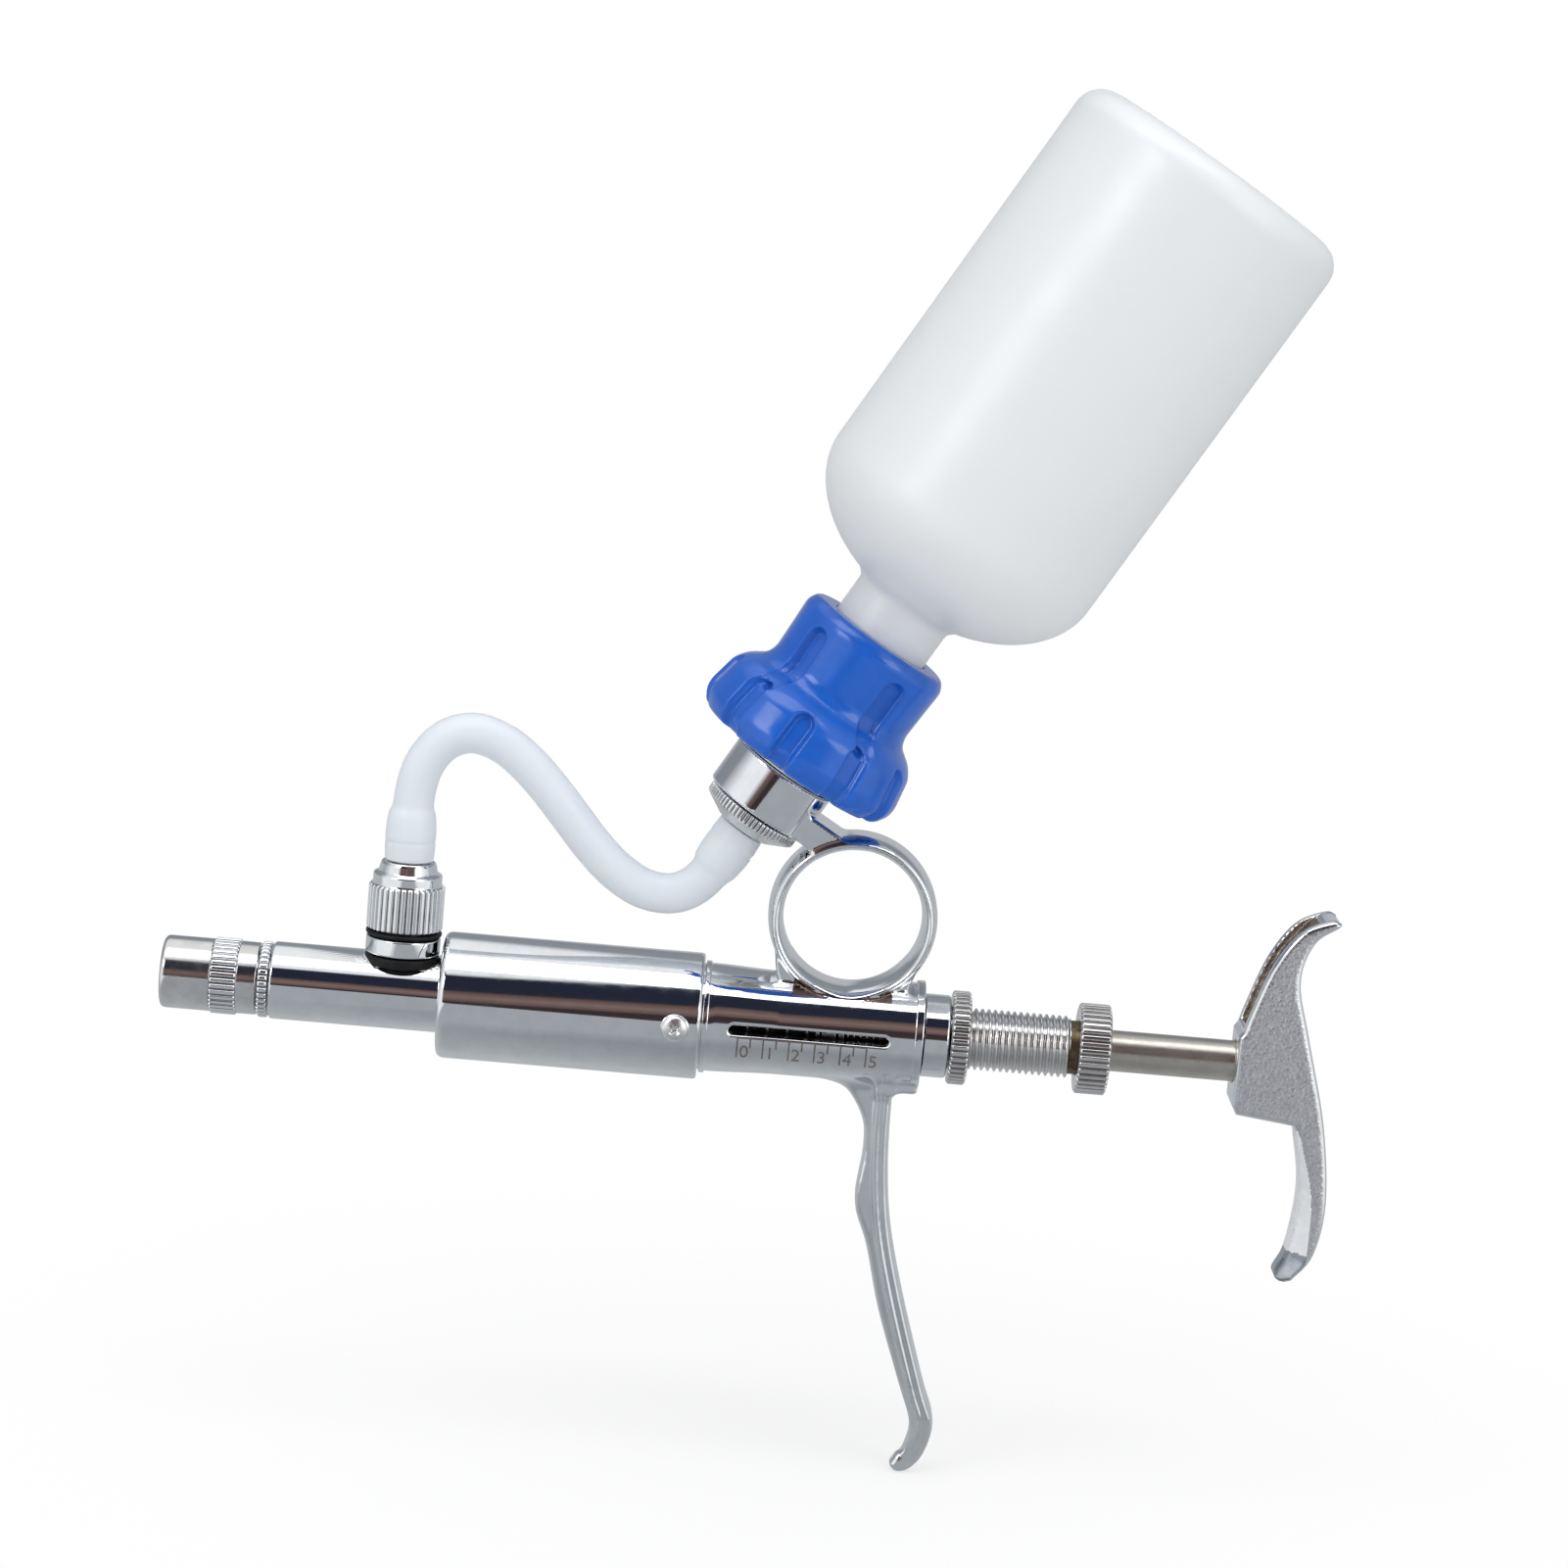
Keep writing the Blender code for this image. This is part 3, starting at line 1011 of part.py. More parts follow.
def cap(plastic):
    """The bottle's cap: a wide lower tier and a narrow upper one, both with grip grooves."""
    grooves_top = CAP_UPPER_BOTTOM + CAP_UPPER_GROOVES
    bm = spun([
        (CAP_BOTTOM, STUD_BORE_R), (CAP_BOTTOM, CAP_LOWER_R - 2.2), (CAP_BOTTOM + 1.0, CAP_LOWER_R - 0.7),
        (CAP_BOTTOM + 3.0, CAP_LOWER_R), (CAP_LOWER_TOP - 1.5, CAP_LOWER_R - 1.2),
        (CAP_LOWER_TOP, CAP_LOWER_R - 2.4), (CAP_UPPER_BOTTOM, CAP_UPPER_R),
        (CAP_UPPER_BOTTOM + 1.5, CAP_UPPER_R - 0.4), (grooves_top, CAP_UPPER_R - 0.2),
        (grooves_top + 1.6, CAP_UPPER_R - 0.1), (CAP_TOP - 1.8, CAP_UPPER_R), (CAP_TOP, CAP_UPPER_R - 1.6),
        (CAP_TOP, CAP_BORE_R), (CAP_INSIDE, CAP_BORE_R), (CAP_INSIDE, STUD_BORE_R)], CAP_COLUMNS)
    for vert in bm.verts:
        radius = vert.co.xy.length / MM
        station = vert.co.z / MM
        angle = math.atan2(vert.co.x, -vert.co.y)
        if radius < CAP_UPPER_R - 1 or station < CAP_BOTTOM + 0.5 or station > grooves_top + 0.5:
            continue
        lower = station < (CAP_LOWER_TOP + CAP_UPPER_BOTTOM) / 2
        lobes = (CAP_LOWER_LOBES, CAP_LOWER_PHASE) if lower else (CAP_UPPER_LOBES, CAP_UPPER_PHASE)
        vert.co.xy *= 1 - groove(angle, radius, *lobes) / radius
    make_object("cap", bm, up_bottle(), plastic)


def shoulder(inset):
    """The bottle's shoulder, an ellipse from the neck to the wall, set in by a wall's thickness."""
    height, width = SHOULDER_DEPTH - inset, BOTTLE_R - inset
    first = math.asin((NECK_R - inset) / width)
    points = []
    for step in range(SHOULDER_STEPS + 1):
        angle = first + (math.pi / 2 - first) * step / SHOULDER_STEPS
        points.append((SHOULDER_END - height * math.cos(angle), width * math.sin(angle)))
    return points


def base_corner(inset):
    """The round corner between the bottle's wall and its base."""
    radius = BASE_CORNER_R - inset
    return [(BOTTLE_BASE - BASE_CORNER_R + radius * math.sin(angle),
             BOTTLE_R - BASE_CORNER_R + radius * math.cos(angle))
            for angle in (0, math.pi / 6, math.pi / 3, math.pi / 2)]


def bottle(plastic):
    """The medicine bottle, hollow and open at its neck."""
    outside = [(NECK_RIM, NECK_R)] + shoulder(0) + base_corner(0) + [(BOTTLE_BASE, 0)]
    inside = [(NECK_RIM, NECK_R - BOTTLE_WALL)] + shoulder(BOTTLE_WALL) + base_corner(BOTTLE_WALL)
    inside.append((BOTTLE_BASE - BOTTLE_WALL, 0))
    turned("bottle", inside[::-1] + outside, up_bottle(), plastic, FINE)


def build():
    """Clear the scene and make every piece."""
    for obj in list(bpy.data.objects):
        bpy.data.objects.remove(obj)
    chrome = finish("chrome", (0.72, 0.73, 0.75), 1.0, 0.12)
    casting = finish("chrome_casting", (0.66, 0.67, 0.69), 1.0, 0.28)
    nickel = finish("satin_nickel", (0.62, 0.60, 0.57), 1.0, 0.32)
    steel = finish("spring_steel", (0.55, 0.55, 0.56), 1.0, 0.30)
    brass = finish("plated_brass", (0.70, 0.64, 0.48), 1.0, 0.25)
    glass = finish("cylinder_glass", (0.90, 0.94, 0.94), 0.0, 0.05, 0.35)
    rubber = finish("black_rubber", (0.02, 0.02, 0.02), 0.0, 0.60)
    pale_rubber = finish("pale_rubber", (0.85, 0.85, 0.84), 0.0, 0.55)
    hose_plastic = finish("hose_plastic", (0.70, 0.76, 0.84), 0.0, 0.25, 0.60)
    blue = finish("blue_plastic", (0.03, 0.12, 0.60), 0.0, 0.30)
    white = finish("bottle_plastic", (0.85, 0.87, 0.88), 0.0, 0.35, 0.80)
    main_body(chrome)
    casing(chrome)
    casing_screw(steel)
    valve_head(chrome)
    outlet(chrome, brass, steel)
    inlet(chrome, brass, rubber, steel)
    hose(hose_plastic)
    cylinder_and_plunger(glass, rubber, chrome, nickel, steel)
    dose_setting(chrome, steel)
    palm_rest(casting)
    hose_fitting(chrome)
    cap_fittings(pale_rubber, chrome)
    cap(blue)
    bottle(white)


build()
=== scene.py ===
# %% [markdown]
# # An automatic veterinary syringe, dressed round its CAD model
# The imported model comes first. It gives every piece its place and its body, so that what is made here
# only has to look right. Lengths are in millimetres and become metres where a mesh is made.

# %% Load the imported model
import json
import math

import bmesh
import bpy
import numpy as np
from mathutils import Matrix, Vector

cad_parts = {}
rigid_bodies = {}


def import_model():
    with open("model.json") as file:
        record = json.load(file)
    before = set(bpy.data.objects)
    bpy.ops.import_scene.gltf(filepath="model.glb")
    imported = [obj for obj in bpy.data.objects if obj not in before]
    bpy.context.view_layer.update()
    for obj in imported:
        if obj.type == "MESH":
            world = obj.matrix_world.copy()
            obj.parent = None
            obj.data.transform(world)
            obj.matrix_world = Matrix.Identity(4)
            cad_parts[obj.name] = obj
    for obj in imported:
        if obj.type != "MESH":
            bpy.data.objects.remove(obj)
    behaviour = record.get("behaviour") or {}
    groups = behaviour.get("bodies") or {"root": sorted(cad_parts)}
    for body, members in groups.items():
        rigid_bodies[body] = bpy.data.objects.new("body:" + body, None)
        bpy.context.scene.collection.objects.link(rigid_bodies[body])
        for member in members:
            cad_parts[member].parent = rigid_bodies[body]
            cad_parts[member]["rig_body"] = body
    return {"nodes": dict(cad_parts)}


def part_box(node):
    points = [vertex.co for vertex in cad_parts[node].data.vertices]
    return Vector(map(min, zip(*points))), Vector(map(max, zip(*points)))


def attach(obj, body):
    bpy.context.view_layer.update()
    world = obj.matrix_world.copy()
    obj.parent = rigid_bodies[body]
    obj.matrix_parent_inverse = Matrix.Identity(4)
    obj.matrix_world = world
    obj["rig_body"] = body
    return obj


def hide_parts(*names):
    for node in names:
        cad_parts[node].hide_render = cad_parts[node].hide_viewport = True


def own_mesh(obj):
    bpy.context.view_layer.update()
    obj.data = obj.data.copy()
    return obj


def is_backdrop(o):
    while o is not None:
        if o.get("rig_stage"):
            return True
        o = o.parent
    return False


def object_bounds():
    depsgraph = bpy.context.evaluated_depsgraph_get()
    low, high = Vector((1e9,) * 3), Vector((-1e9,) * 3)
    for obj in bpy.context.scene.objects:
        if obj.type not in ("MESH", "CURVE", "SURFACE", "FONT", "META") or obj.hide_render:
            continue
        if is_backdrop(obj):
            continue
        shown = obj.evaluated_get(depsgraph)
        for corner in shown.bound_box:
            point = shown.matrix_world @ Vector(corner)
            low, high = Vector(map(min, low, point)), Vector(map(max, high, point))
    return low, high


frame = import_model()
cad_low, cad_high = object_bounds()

MM = 0.001
print("nodes:", len(frame["nodes"]), " size in mm:", [round(side / MM, 1) for side in cad_high - cad_low])

# %% [markdown]
# ## Where the camera stands
# The photograph was taken from the side, a little from above, with the barrel sloping down to the right.
# The camera is turned by its three axes, so that its roll stays a roll about the line of sight.

# %% Camera
CAMERA_PLACE = Vector((-26.24, -799.15, 181.54)) * MM
AZIMUTH, ELEVATION, ROLL = (math.radians(angle) for angle in (-0.773, 9.566, 5.005))

back = Vector((math.sin(AZIMUTH) * math.cos(ELEVATION), -math.cos(AZIMUTH) * math.cos(ELEVATION),
               math.sin(ELEVATION)))
level = Vector((math.cos(AZIMUTH), math.sin(AZIMUTH), 0))
upright = back.cross(level)
camera_x = level * math.cos(ROLL) + upright * math.sin(ROLL)
camera_y = upright * math.cos(ROLL) - level * math.sin(ROLL)

camera = bpy.data.objects.new("camera", bpy.data.cameras.new("camera"))
bpy.context.scene.collection.objects.link(camera)
camera.data.sensor_width = 36
camera.data.lens = 96.8
camera.matrix_world = (Matrix.Translation(CAMERA_PLACE)
                       @ Matrix((camera_x, camera_y, back)).transposed().to_4x4())
bpy.context.scene.camera = camera
print("camera", round((CAMERA_PLACE / MM).length), "mm from the middle of the barrel")

# %% [markdown]
# ## Axes of the tool
# Nearly every piece was turned on a lathe, about one of three axes: the barrel's, the inlet's, and the
# bottle's, which leans back. A piece is drawn about Z and then laid along its axis, and the place goes
# into its mesh, so that every object stays at the origin like the CAD nodes.

# %% Axes and small helpers
INLET_X = -86.2
LEAN = math.radians(30.6)
RING_HEIGHT = 22.35
UP = Vector((math.sin(LEAN), 0.0, math.cos(LEAN)))
ACROSS = Vector((math.cos(LEAN), 0.0, -math.sin(LEAN)))
BOTTLE_POINT = Vector((-16.004, 0.0, 48.9976))

IN_PLACE = Matrix.Identity(4)
ALONG_X = Matrix.Rotation(math.radians(90), 4, "Y")
UP_INLET = Matrix.Translation((INLET_X * MM, 0, 0))
UP_BOTTLE = Matrix.Translation(BOTTLE_POINT * MM) @ Matrix.Rotation(LEAN, 4, "Y")


def across(x, z):
    """Lay a turned piece along Y, so that its low stations are on the near side."""
    return Matrix.Translation((x * MM, 0, z * MM)) @ Matrix.Rotation(math.radians(-90), 4, "X")


def add_object(name, data, *materials):
    """A new object at the origin with its finishes."""
    obj = bpy.data.objects.new(name, data)
    bpy.context.scene.collection.objects.link(obj)
    for material in materials:
        data.materials.append(material)
    return obj


def mesh_from(name, bm, place=IN_PLACE):
    """Close a bmesh into a mesh at its place."""
    bm.transform(place)
    mesh = bpy.data.meshes.new(name)
    bm.to_mesh(mesh)
    bm.free()
    return mesh


def evaluated_mesh(obj):
    """A plain mesh of what an object's modifiers make."""
    bpy.context.view_layer.update()
    return bpy.data.meshes.new_from_object(obj.evaluated_get(bpy.context.evaluated_depsgraph_get()))


def cut_away(obj, cutter):
    """Cut a mesh out of an object."""
    blade = add_object("blade", cutter)
    cut = obj.modifiers.new("Cut", "BOOLEAN")
    cut.operation = "DIFFERENCE"
    cut.object = blade
    mesh = evaluated_mesh(obj)
    obj.modifiers.clear()
    obj.data = mesh
    bpy.data.objects.remove(blade)


def smooth_above(obj, degrees):
    """Shade a piece smoothly, but keep its edges above an angle sharp."""
    obj.data.shade_smooth()
    obj.data.set_sharp_from_angle(angle=math.radians(degrees))


def stand_for(obj, slot, node):
    """Let a finished piece ride with the node that it replaces."""
    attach(obj, frame["nodes"][node]["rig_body"])
    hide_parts(node)
    print(f"{obj.name}: {len(obj.data.polygons)} faces for {node}")


def smooth_line(points, steps):
    """Points on a smooth curve through the given ones."""
    points = [Vector(point) for point in points]
    chain = [2 * points[0] - points[1]] + points + [2 * points[-1] - points[-2]]
    line = []
    for a, b, c, d in zip(chain, chain[1:], chain[2:], chain[3:]):
        for step in range(steps):
            t = step / steps
            line.append(0.5 * (2 * b + (c - a) * t + (2 * a - 5 * b + 4 * c - d) * t ** 2
                               + (3 * b - a - 3 * c + d) * t ** 3))
    return line + [points[-1]]


def skin_between(bm, rows, capped=True):
    """Faces between rings of points, and over both ends if they are capped."""
    for row, following in zip(rows, rows[1:]):
        for corners in zip(row, row[1:] + row[:1], following[1:] + following[:1], following):
            bm.faces.new(corners)
    if capped:
        bm.faces.new(rows[0])
        bm.faces.new(rows[-1])
    bmesh.ops.recalc_face_normals(bm, faces=bm.faces)


# %% [markdown]
# ## Finishes: shared effects
# What several finishes have in common is a node group, made once: the uneven gloss of handled metal, the
# mottled skin of a casting, and the fine lines of turning and polishing. Groups put out values, masks and
# normals only. The shader itself stays in each material.

# %% Node helpers
class Value:
    """A value in a node tree. Reckoning with it adds math nodes."""

    def __init__(self, tree, socket):
        self.tree, self.socket = tree, socket

    def math(self, operation, *others):
        """The value after one operation with others."""
        return reckon(self.tree, operation, self, *others)

    def __add__(self, other):
        return self.math("ADD", other)

    def __sub__(self, other):
        return self.math("SUBTRACT", other)

    def __mul__(self, other):
        return self.math("MULTIPLY", other)

    def __truediv__(self, other):
        return self.math("DIVIDE", other)

    def ranged(self, low, high, to_low=0.0, to_high=1.0, **settings):
        """Where the value is between two limits, clamped, on another scale."""
        return add_value(self.tree, "ShaderNodeMapRange", "Result", {
            "Value": self, "From Min": low, "From Max": high, "To Min": to_low, "To Max": to_high}, **settings)

    def to(self, socket):
        """Link the value to a socket."""
        self.tree.links.new(self.socket, socket)


def add_node(tree, kind, inputs=None, **settings):
    """Add a node, set it up, and link or fill its inputs."""
    node = tree.nodes.new(kind)
    for key, value in settings.items():
        setattr(node, key, value)
    for key, value in (inputs or {}).items():
        if isinstance(value, Value):
            value.to(node.inputs[key])
        else:
            node.inputs[key].default_value = value
    return node


def add_value(tree, kind, output, inputs=None, **settings):
    """Add a node for the sake of one of its outputs."""
    return Value(tree, add_node(tree, kind, inputs, **settings).outputs[output])


def reckon(tree, operation, *values):
    """One math node's result."""
    return add_value(tree, "ShaderNodeMath", 0, dict(enumerate(values)), operation=operation)


def mixed(tree, share, first, second):
    """A colour between two, each a value or three numbers."""
    ends = [(*end, 1.0) if isinstance(end, tuple) else end for end in (first, second)]
    return add_value(tree, "ShaderNodeMix", 2, {"Factor": share, 6: ends[0], 7: ends[1]}, data_type="RGBA")


def node_tree(kind, name, inputs, outputs):
    """An empty node group with named sockets, a way to its inputs, and its outputs."""
    tree = bpy.data.node_groups.new(name, kind)
    for in_out, sockets in (("INPUT", inputs), ("OUTPUT", outputs)):
        for label, socket_kind, *start in sockets:
            socket = tree.interface.new_socket(label, in_out=in_out, socket_type="NodeSocket" + socket_kind)
            if start:
                socket.default_value = start[0]
    sockets = tree.nodes.new("NodeGroupInput").outputs
    return tree, lambda label: Value(tree, sockets[label]), tree.nodes.new("NodeGroupOutput").inputs


# %% Group: uneven gloss
CLOUD = (0.38, 0.68)
uneven_gloss, given, result = node_tree("ShaderNodeTree", "Uneven gloss", [
    ("Place", "Vector"), ("Size", "Float", 300.0), ("Least", "Float", 0.05), ("Most", "Float", 0.12)],
    [("Roughness", "Float"), ("Mask", "Float")])
cloud = add_value(uneven_gloss, "ShaderNodeTexNoise", "Fac", {
    "Vector": given("Place"), "Scale": given("Size"), "Detail": 5.0, "Roughness": 0.62})
cloud.ranged(*CLOUD, given("Least"), given("Most")).to(result["Roughness"])
cloud.ranged(*CLOUD).to(result["Mask"])

# %% Group: cast skin
cast_skin, given, result = node_tree("ShaderNodeTree", "Cast skin", [
    ("Place", "Vector"), ("Size", "Float", 600.0), ("Height", "Float", 0.5), ("Reach", "Float", 0.0002)],
    [("Normal", "Vector"), ("Mask", "Float")])
dimples = add_value(cast_skin, "ShaderNodeTexNoise", "Fac", {
    "Vector": given("Place"), "Scale": given("Size"), "Detail": 4.0, "Roughness": 0.6})
pits = add_value(cast_skin, "ShaderNodeTexVoronoi", "Distance", {"Vector": given("Place"), "Scale": given("Size")})
add_value(cast_skin, "ShaderNodeBump", "Normal", {
    "Height": dimples + pits, "Strength": given("Height"), "Distance": given("Reach")}).to(result["Normal"])
dimples.ranged(0.4, 0.62).to(result["Mask"])

# %% Group: tool lines
tool_lines, given, result = node_tree("ShaderNodeTree", "Tool lines", [
    ("Place", "Vector"), ("Stretch", "Vector", (40.0, 4000.0, 4000.0)), ("Height", "Float", 0.1),
    ("Reach", "Float", 0.00005)], [("Normal", "Vector"), ("Mask", "Float")])
drawn_out = add_value(tool_lines, "ShaderNodeVectorMath", "Vector", {0: given("Place"), 1: given("Stretch")},
                      operation="MULTIPLY")
lines = add_value(tool_lines, "ShaderNodeTexNoise", "Fac", {
    "Vector": drawn_out, "Scale": 1.0, "Detail": 3.0, "Roughness": 0.7})
add_value(tool_lines, "ShaderNodeBump", "Normal", {
    "Height": lines, "Strength": given("Height"), "Distance": given("Reach")}).to(result["Normal"])
lines.to(result["Mask"])
print("effects:", [group.name for group in (uneven_gloss, cast_skin, tool_lines)])

# %% [markdown]
# ## Finishes: metals
# Chrome is almost a mirror, so what makes it look real is what it reflects, with a gloss that is a
# little uneven. The lever and the palm rest come out of the mould with a rougher skin, and the plating
# follows it. The rod is drawn and ground steel with a warm tone and lines along it.

# %% Metals
def new_material(name, colour, metallic, roughness):
    """A Principled material, its tree, shader and object coordinates."""
    material = bpy.data.materials.new(name)
    material.use_nodes = True
    tree = material.node_tree
    shader = tree.nodes["Principled BSDF"]
    for label, value in (("Base Color", (*colour, 1.0)), ("Metallic", metallic), ("Roughness", roughness)):
        shader.inputs[label].default_value = value
    return material, tree, shader, add_value(tree, "ShaderNodeTexCoord", "Object")


def effect(tree, group, **inputs):
    """Place a shared effect in a material, and give a way to its outputs."""
    outputs = add_node(tree, "ShaderNodeGroup", inputs, node_tree=group).outputs
    return lambda label: Value(tree, outputs[label])


def metal(name, light, dark, gloss, size=260.0, lines=None, skin=None, mottled=False, metallic=1.0):
    """Two tones and an uneven gloss, with tool lines (stretch, height) or a cast skin (size, height)."""
    material, tree, shader, place = new_material(name, light, metallic, gloss[0])
    uneven = effect(tree, uneven_gloss, Place=place, Size=size, Least=gloss[0], Most=gloss[1])
    uneven("Roughness").to(shader.inputs["Roughness"])
    mask = uneven("Mask")
    if lines:
        relief = effect(tree, tool_lines, Place=place, Stretch=lines[0], Height=lines[1])
    elif skin:
        relief = effect(tree, cast_skin, Place=place, Size=skin[0], Height=skin[1])
    if lines or skin:
        relief("Normal").to(shader.inputs["Normal"])
    if mottled:
        mask = (relief("Mask") + mask) * 0.5
    mixed(tree, mask, light, dark).to(shader.inputs["Base Color"])
    return material


ROUND_LINES = (4000.0, 60.0, 60.0)
ALONG_LINES = (40.0, 5000.0, 5000.0)
chrome = metal("chrome", (0.83, 0.845, 0.86), (0.77, 0.785, 0.80), (0.035, 0.085))
# Dark chrome for the bottom of the knurl grooves: painted shade.
groove_shade = metal("chrome_painted_groove_shade", (0.30, 0.29, 0.28), (0.16, 0.15, 0.14), (0.25, 0.45))
nickel = metal("satin_nickel", (0.58, 0.55, 0.50), (0.50, 0.47, 0.42), (0.27, 0.35), lines=(ALONG_LINES, 0.25))
turned_steel = metal("turned_chrome", (0.74, 0.735, 0.725), (0.64, 0.63, 0.62), (0.12, 0.22), lines=(ROUND_LINES, 0.15))
spring_steel = metal("spring_steel", (0.45, 0.45, 0.46), (0.36, 0.36, 0.37), (0.22, 0.32), 900.0)
brass = metal("plated_brass", (0.80, 0.77, 0.72), (0.70, 0.67, 0.61), (0.20, 0.30), 700.0)
# Near-black metal for the barrel's bore: painted shade inside the barrel.
bore_shade = metal("painted_bore_shade", (0.035, 0.034, 0.034), (0.02, 0.02, 0.02), (0.35, 0.55), 500.0)
# Dark brown metal for the sleeve's narrow neck behind the thread.
dark_neck = metal("dark_brown_neck", (0.20, 0.15, 0.09), (0.10, 0.075, 0.05), (0.35, 0.55), 900.0)
satin_chrome = metal("satin_chrome", (0.84, 0.86, 0.875), (0.76, 0.78, 0.80), (0.07, 0.12), 200.0)
# Darker blue-grey metal for the front of the palm rest's toe.
toe_blue_grey = metal("blue_grey_toe", (0.46, 0.49, 0.53), (0.38, 0.41, 0.45), (0.22, 0.32), 500.0)
zinc = metal("bright_zinc", (0.94, 0.94, 0.92), (0.84, 0.84, 0.80), (0.26, 0.36), 900.0)
# Pale, half-metallic plating for the front of the palm rest's hook: a painted highlight.
hook_highlight = metal("painted_highlight_plating", (0.95, 0.955, 0.96), (0.82, 0.83, 0.85), (0.30, 0.45), 400.0, metallic=0.45)
cast_chrome = metal("chrome_casting", (0.87, 0.865, 0.88), (0.60, 0.59, 0.605), (0.20, 0.32), 500.0,
                    skin=(1500.0, 0.3), mottled=True)
crevice = metal("shaded_crevice", (0.17, 0.12, 0.105), (0.09, 0.065, 0.06), (0.25, 0.45), 900.0)
cast_hollow = metal("casting_hollow", (0.34, 0.29, 0.24), (0.15, 0.12, 0.095), (0.35, 0.6), 300.0,
                    skin=(900.0, 1.0), mottled=True)
print("metals:", len(bpy.data.materials))

# %% [markdown]
# ## Finishes: plastics, rubber and glass
# The bottle is milky polyethylene: light goes through it softly, so it has a little transmission and a
# lot of roughness. The hose is soft vinyl, faintly blue. The cap is moulded, glossy and strongly
# coloured, with the faint flow marks of moulding.

# %% Plastics
def plastic(name, light, dark, gloss, transmission=0.0, size=120.0, wave=0.05, ior=1.5):
    """A moulded plastic with a faint wave in its skin."""
    material = metal(name, light, dark, gloss, size, skin=(size, wave), metallic=0.0)
    inputs = material.node_tree.nodes["Principled BSDF"].inputs
    inputs["IOR"].default_value = ior
    inputs["Transmission Weight"].default_value = transmission
    return material


blue_plastic = plastic("blue_plastic", (0.011, 0.108, 0.52), (0.009, 0.094, 0.46), (0.13, 0.22), size=260.0, wave=0.12)
bottle_plastic = plastic("bottle_plastic", (0.93, 0.945, 0.955), (0.92, 0.935, 0.95), (0.28, 0.38), 0.30)
hose_vinyl = plastic("hose_vinyl", (0.905, 0.95, 0.998), (0.885, 0.935, 0.99), (0.28, 0.36), 0.34, 200.0, 0.02, 1.4)
black_rubber = plastic("black_rubber", (0.006, 0.006, 0.007), (0.012, 0.012, 0.012), (0.45, 0.6), size=700.0, ior=1.3)
pale_rubber = plastic("pale_rubber", (0.78, 0.78, 0.76), (0.72, 0.72, 0.70), (0.5, 0.6), size=700.0)
cylinder_glass = plastic("cylinder_glass", (0.94, 0.97, 0.97), (0.92, 0.96, 0.96), (0.02, 0.04), 1.0, wave=0.0)
engraved = plastic("engraved_lines", (0.085, 0.068, 0.06), (0.15, 0.125, 0.11), (0.5, 0.7), size=900.0)
print("finishes:", len(bpy.data.materials))

# %% [markdown]
# ## The hose
# The hose is a cord with both its ends on the syringe: pushed over the inlet's barb, up, over a hump,
# down through a dip and up on the fitting's barb under the bottle. It has a wall, and it swells where it
# is stretched over the barbs. A ring of points is laid round every place on the route, outside first and
# then back along the bore.

# %% Hose route
HOSE_R = 3.9
HOSE_BORE_R = 2.6
HOSE_SWELL = 1.0
HOSE_RINGS = 320
HOSE_SIDES = 40
HOSE_BARB = 8.4
HOSE_WAIST = 3.7
HOSE_TURNS = [(-85.7, 41.0), (-84.0, 46.0), (-80.5, 50.0), (-75.3, 51.6), (-69.5, 49.9), (-64.4, 46.2),
              (-59.8, 41.6), (-55.5, 36.7), (-51.1, 31.7), (-46.2, 27.2), (-40.5, 24.1), (-34.6, 23.8),
              (-29.9, 26.6)]
HOSE_BOTTOM = 26.0
HOSE_END = -13.3
route = [(INLET_X, HOSE_BOTTOM), (INLET_X, HOSE_BOTTOM + 9.0)] + HOSE_TURNS
route += [tuple((BOTTLE_POINT + UP * station).xz) for station in (HOSE_END - 6.0, HOSE_END)]
line = np.array([(point.x, 0.0, point.y) for point in smooth_line(route, 30)])
far = np.concatenate([[0.0], np.cumsum(np.linalg.norm(np.diff(line, axis=0), axis=1))])
hose_length = far[-1]
print(f"hose: {hose_length:.1f} mm from end to end")


# %% Hose mesh
def even_route(count):
    """Places along the route, evenly spaced, and how far along each is."""
    wanted = np.linspace(0.0, hose_length, count)
    return np.column_stack([np.interp(wanted, far, line[:, axis]) for axis in range(3)]), wanted


def barb_swell(along):
    """How much wider the hose is there: one soft swell over each barb, with a fine ring round it."""
    from_end = np.minimum(along, hose_length - along)
    held = 1.0 / (1.0 + np.exp((from_end - HOSE_BARB - 1.2) / 0.45))
    belly = 0.78 + 0.22 * np.sin(math.pi * np.clip(from_end / HOSE_BARB, 0.0, 1.0))
    return HOSE_SWELL * held * (belly - 0.16 * np.exp(-((from_end - HOSE_WAIST) / 0.35) ** 2))


def hose_mesh():
    """The hose's outside and bore as one closed skin."""
    places, along = even_route(HOSE_RINGS)
    heading = np.gradient(places, axis=0)
    heading /= np.linalg.norm(heading, axis=1)[:, None]
    side = np.array([0.0, 1.0, 0.0])
    up = np.cross(heading, side)
    swell = barb_swell(along)
    turn = np.linspace(0, 2 * math.pi, HOSE_SIDES, endpoint=False)
    forth = range(HOSE_RINGS)
    bm = bmesh.new()
    rows = []
    for radius, order in ((HOSE_R, forth), (HOSE_BORE_R, reversed(forth))):
        for index in order:
            reach = radius + swell[index]
            ring = places[index] + reach * (np.cos(turn)[:, None] * side + np.sin(turn)[:, None] * up[index])
            rows.append([bm.verts.new(point * MM) for point in ring])
    skin_between(bm, rows + rows[:1], capped=False)
    mesh = mesh_from("feed_hose", bm)
    mesh.shade_smooth()
    return mesh


feed_hose = add_object("feed_hose", hose_mesh(), hose_vinyl)
stand_for(feed_hose, "hose_plastic", "hose")

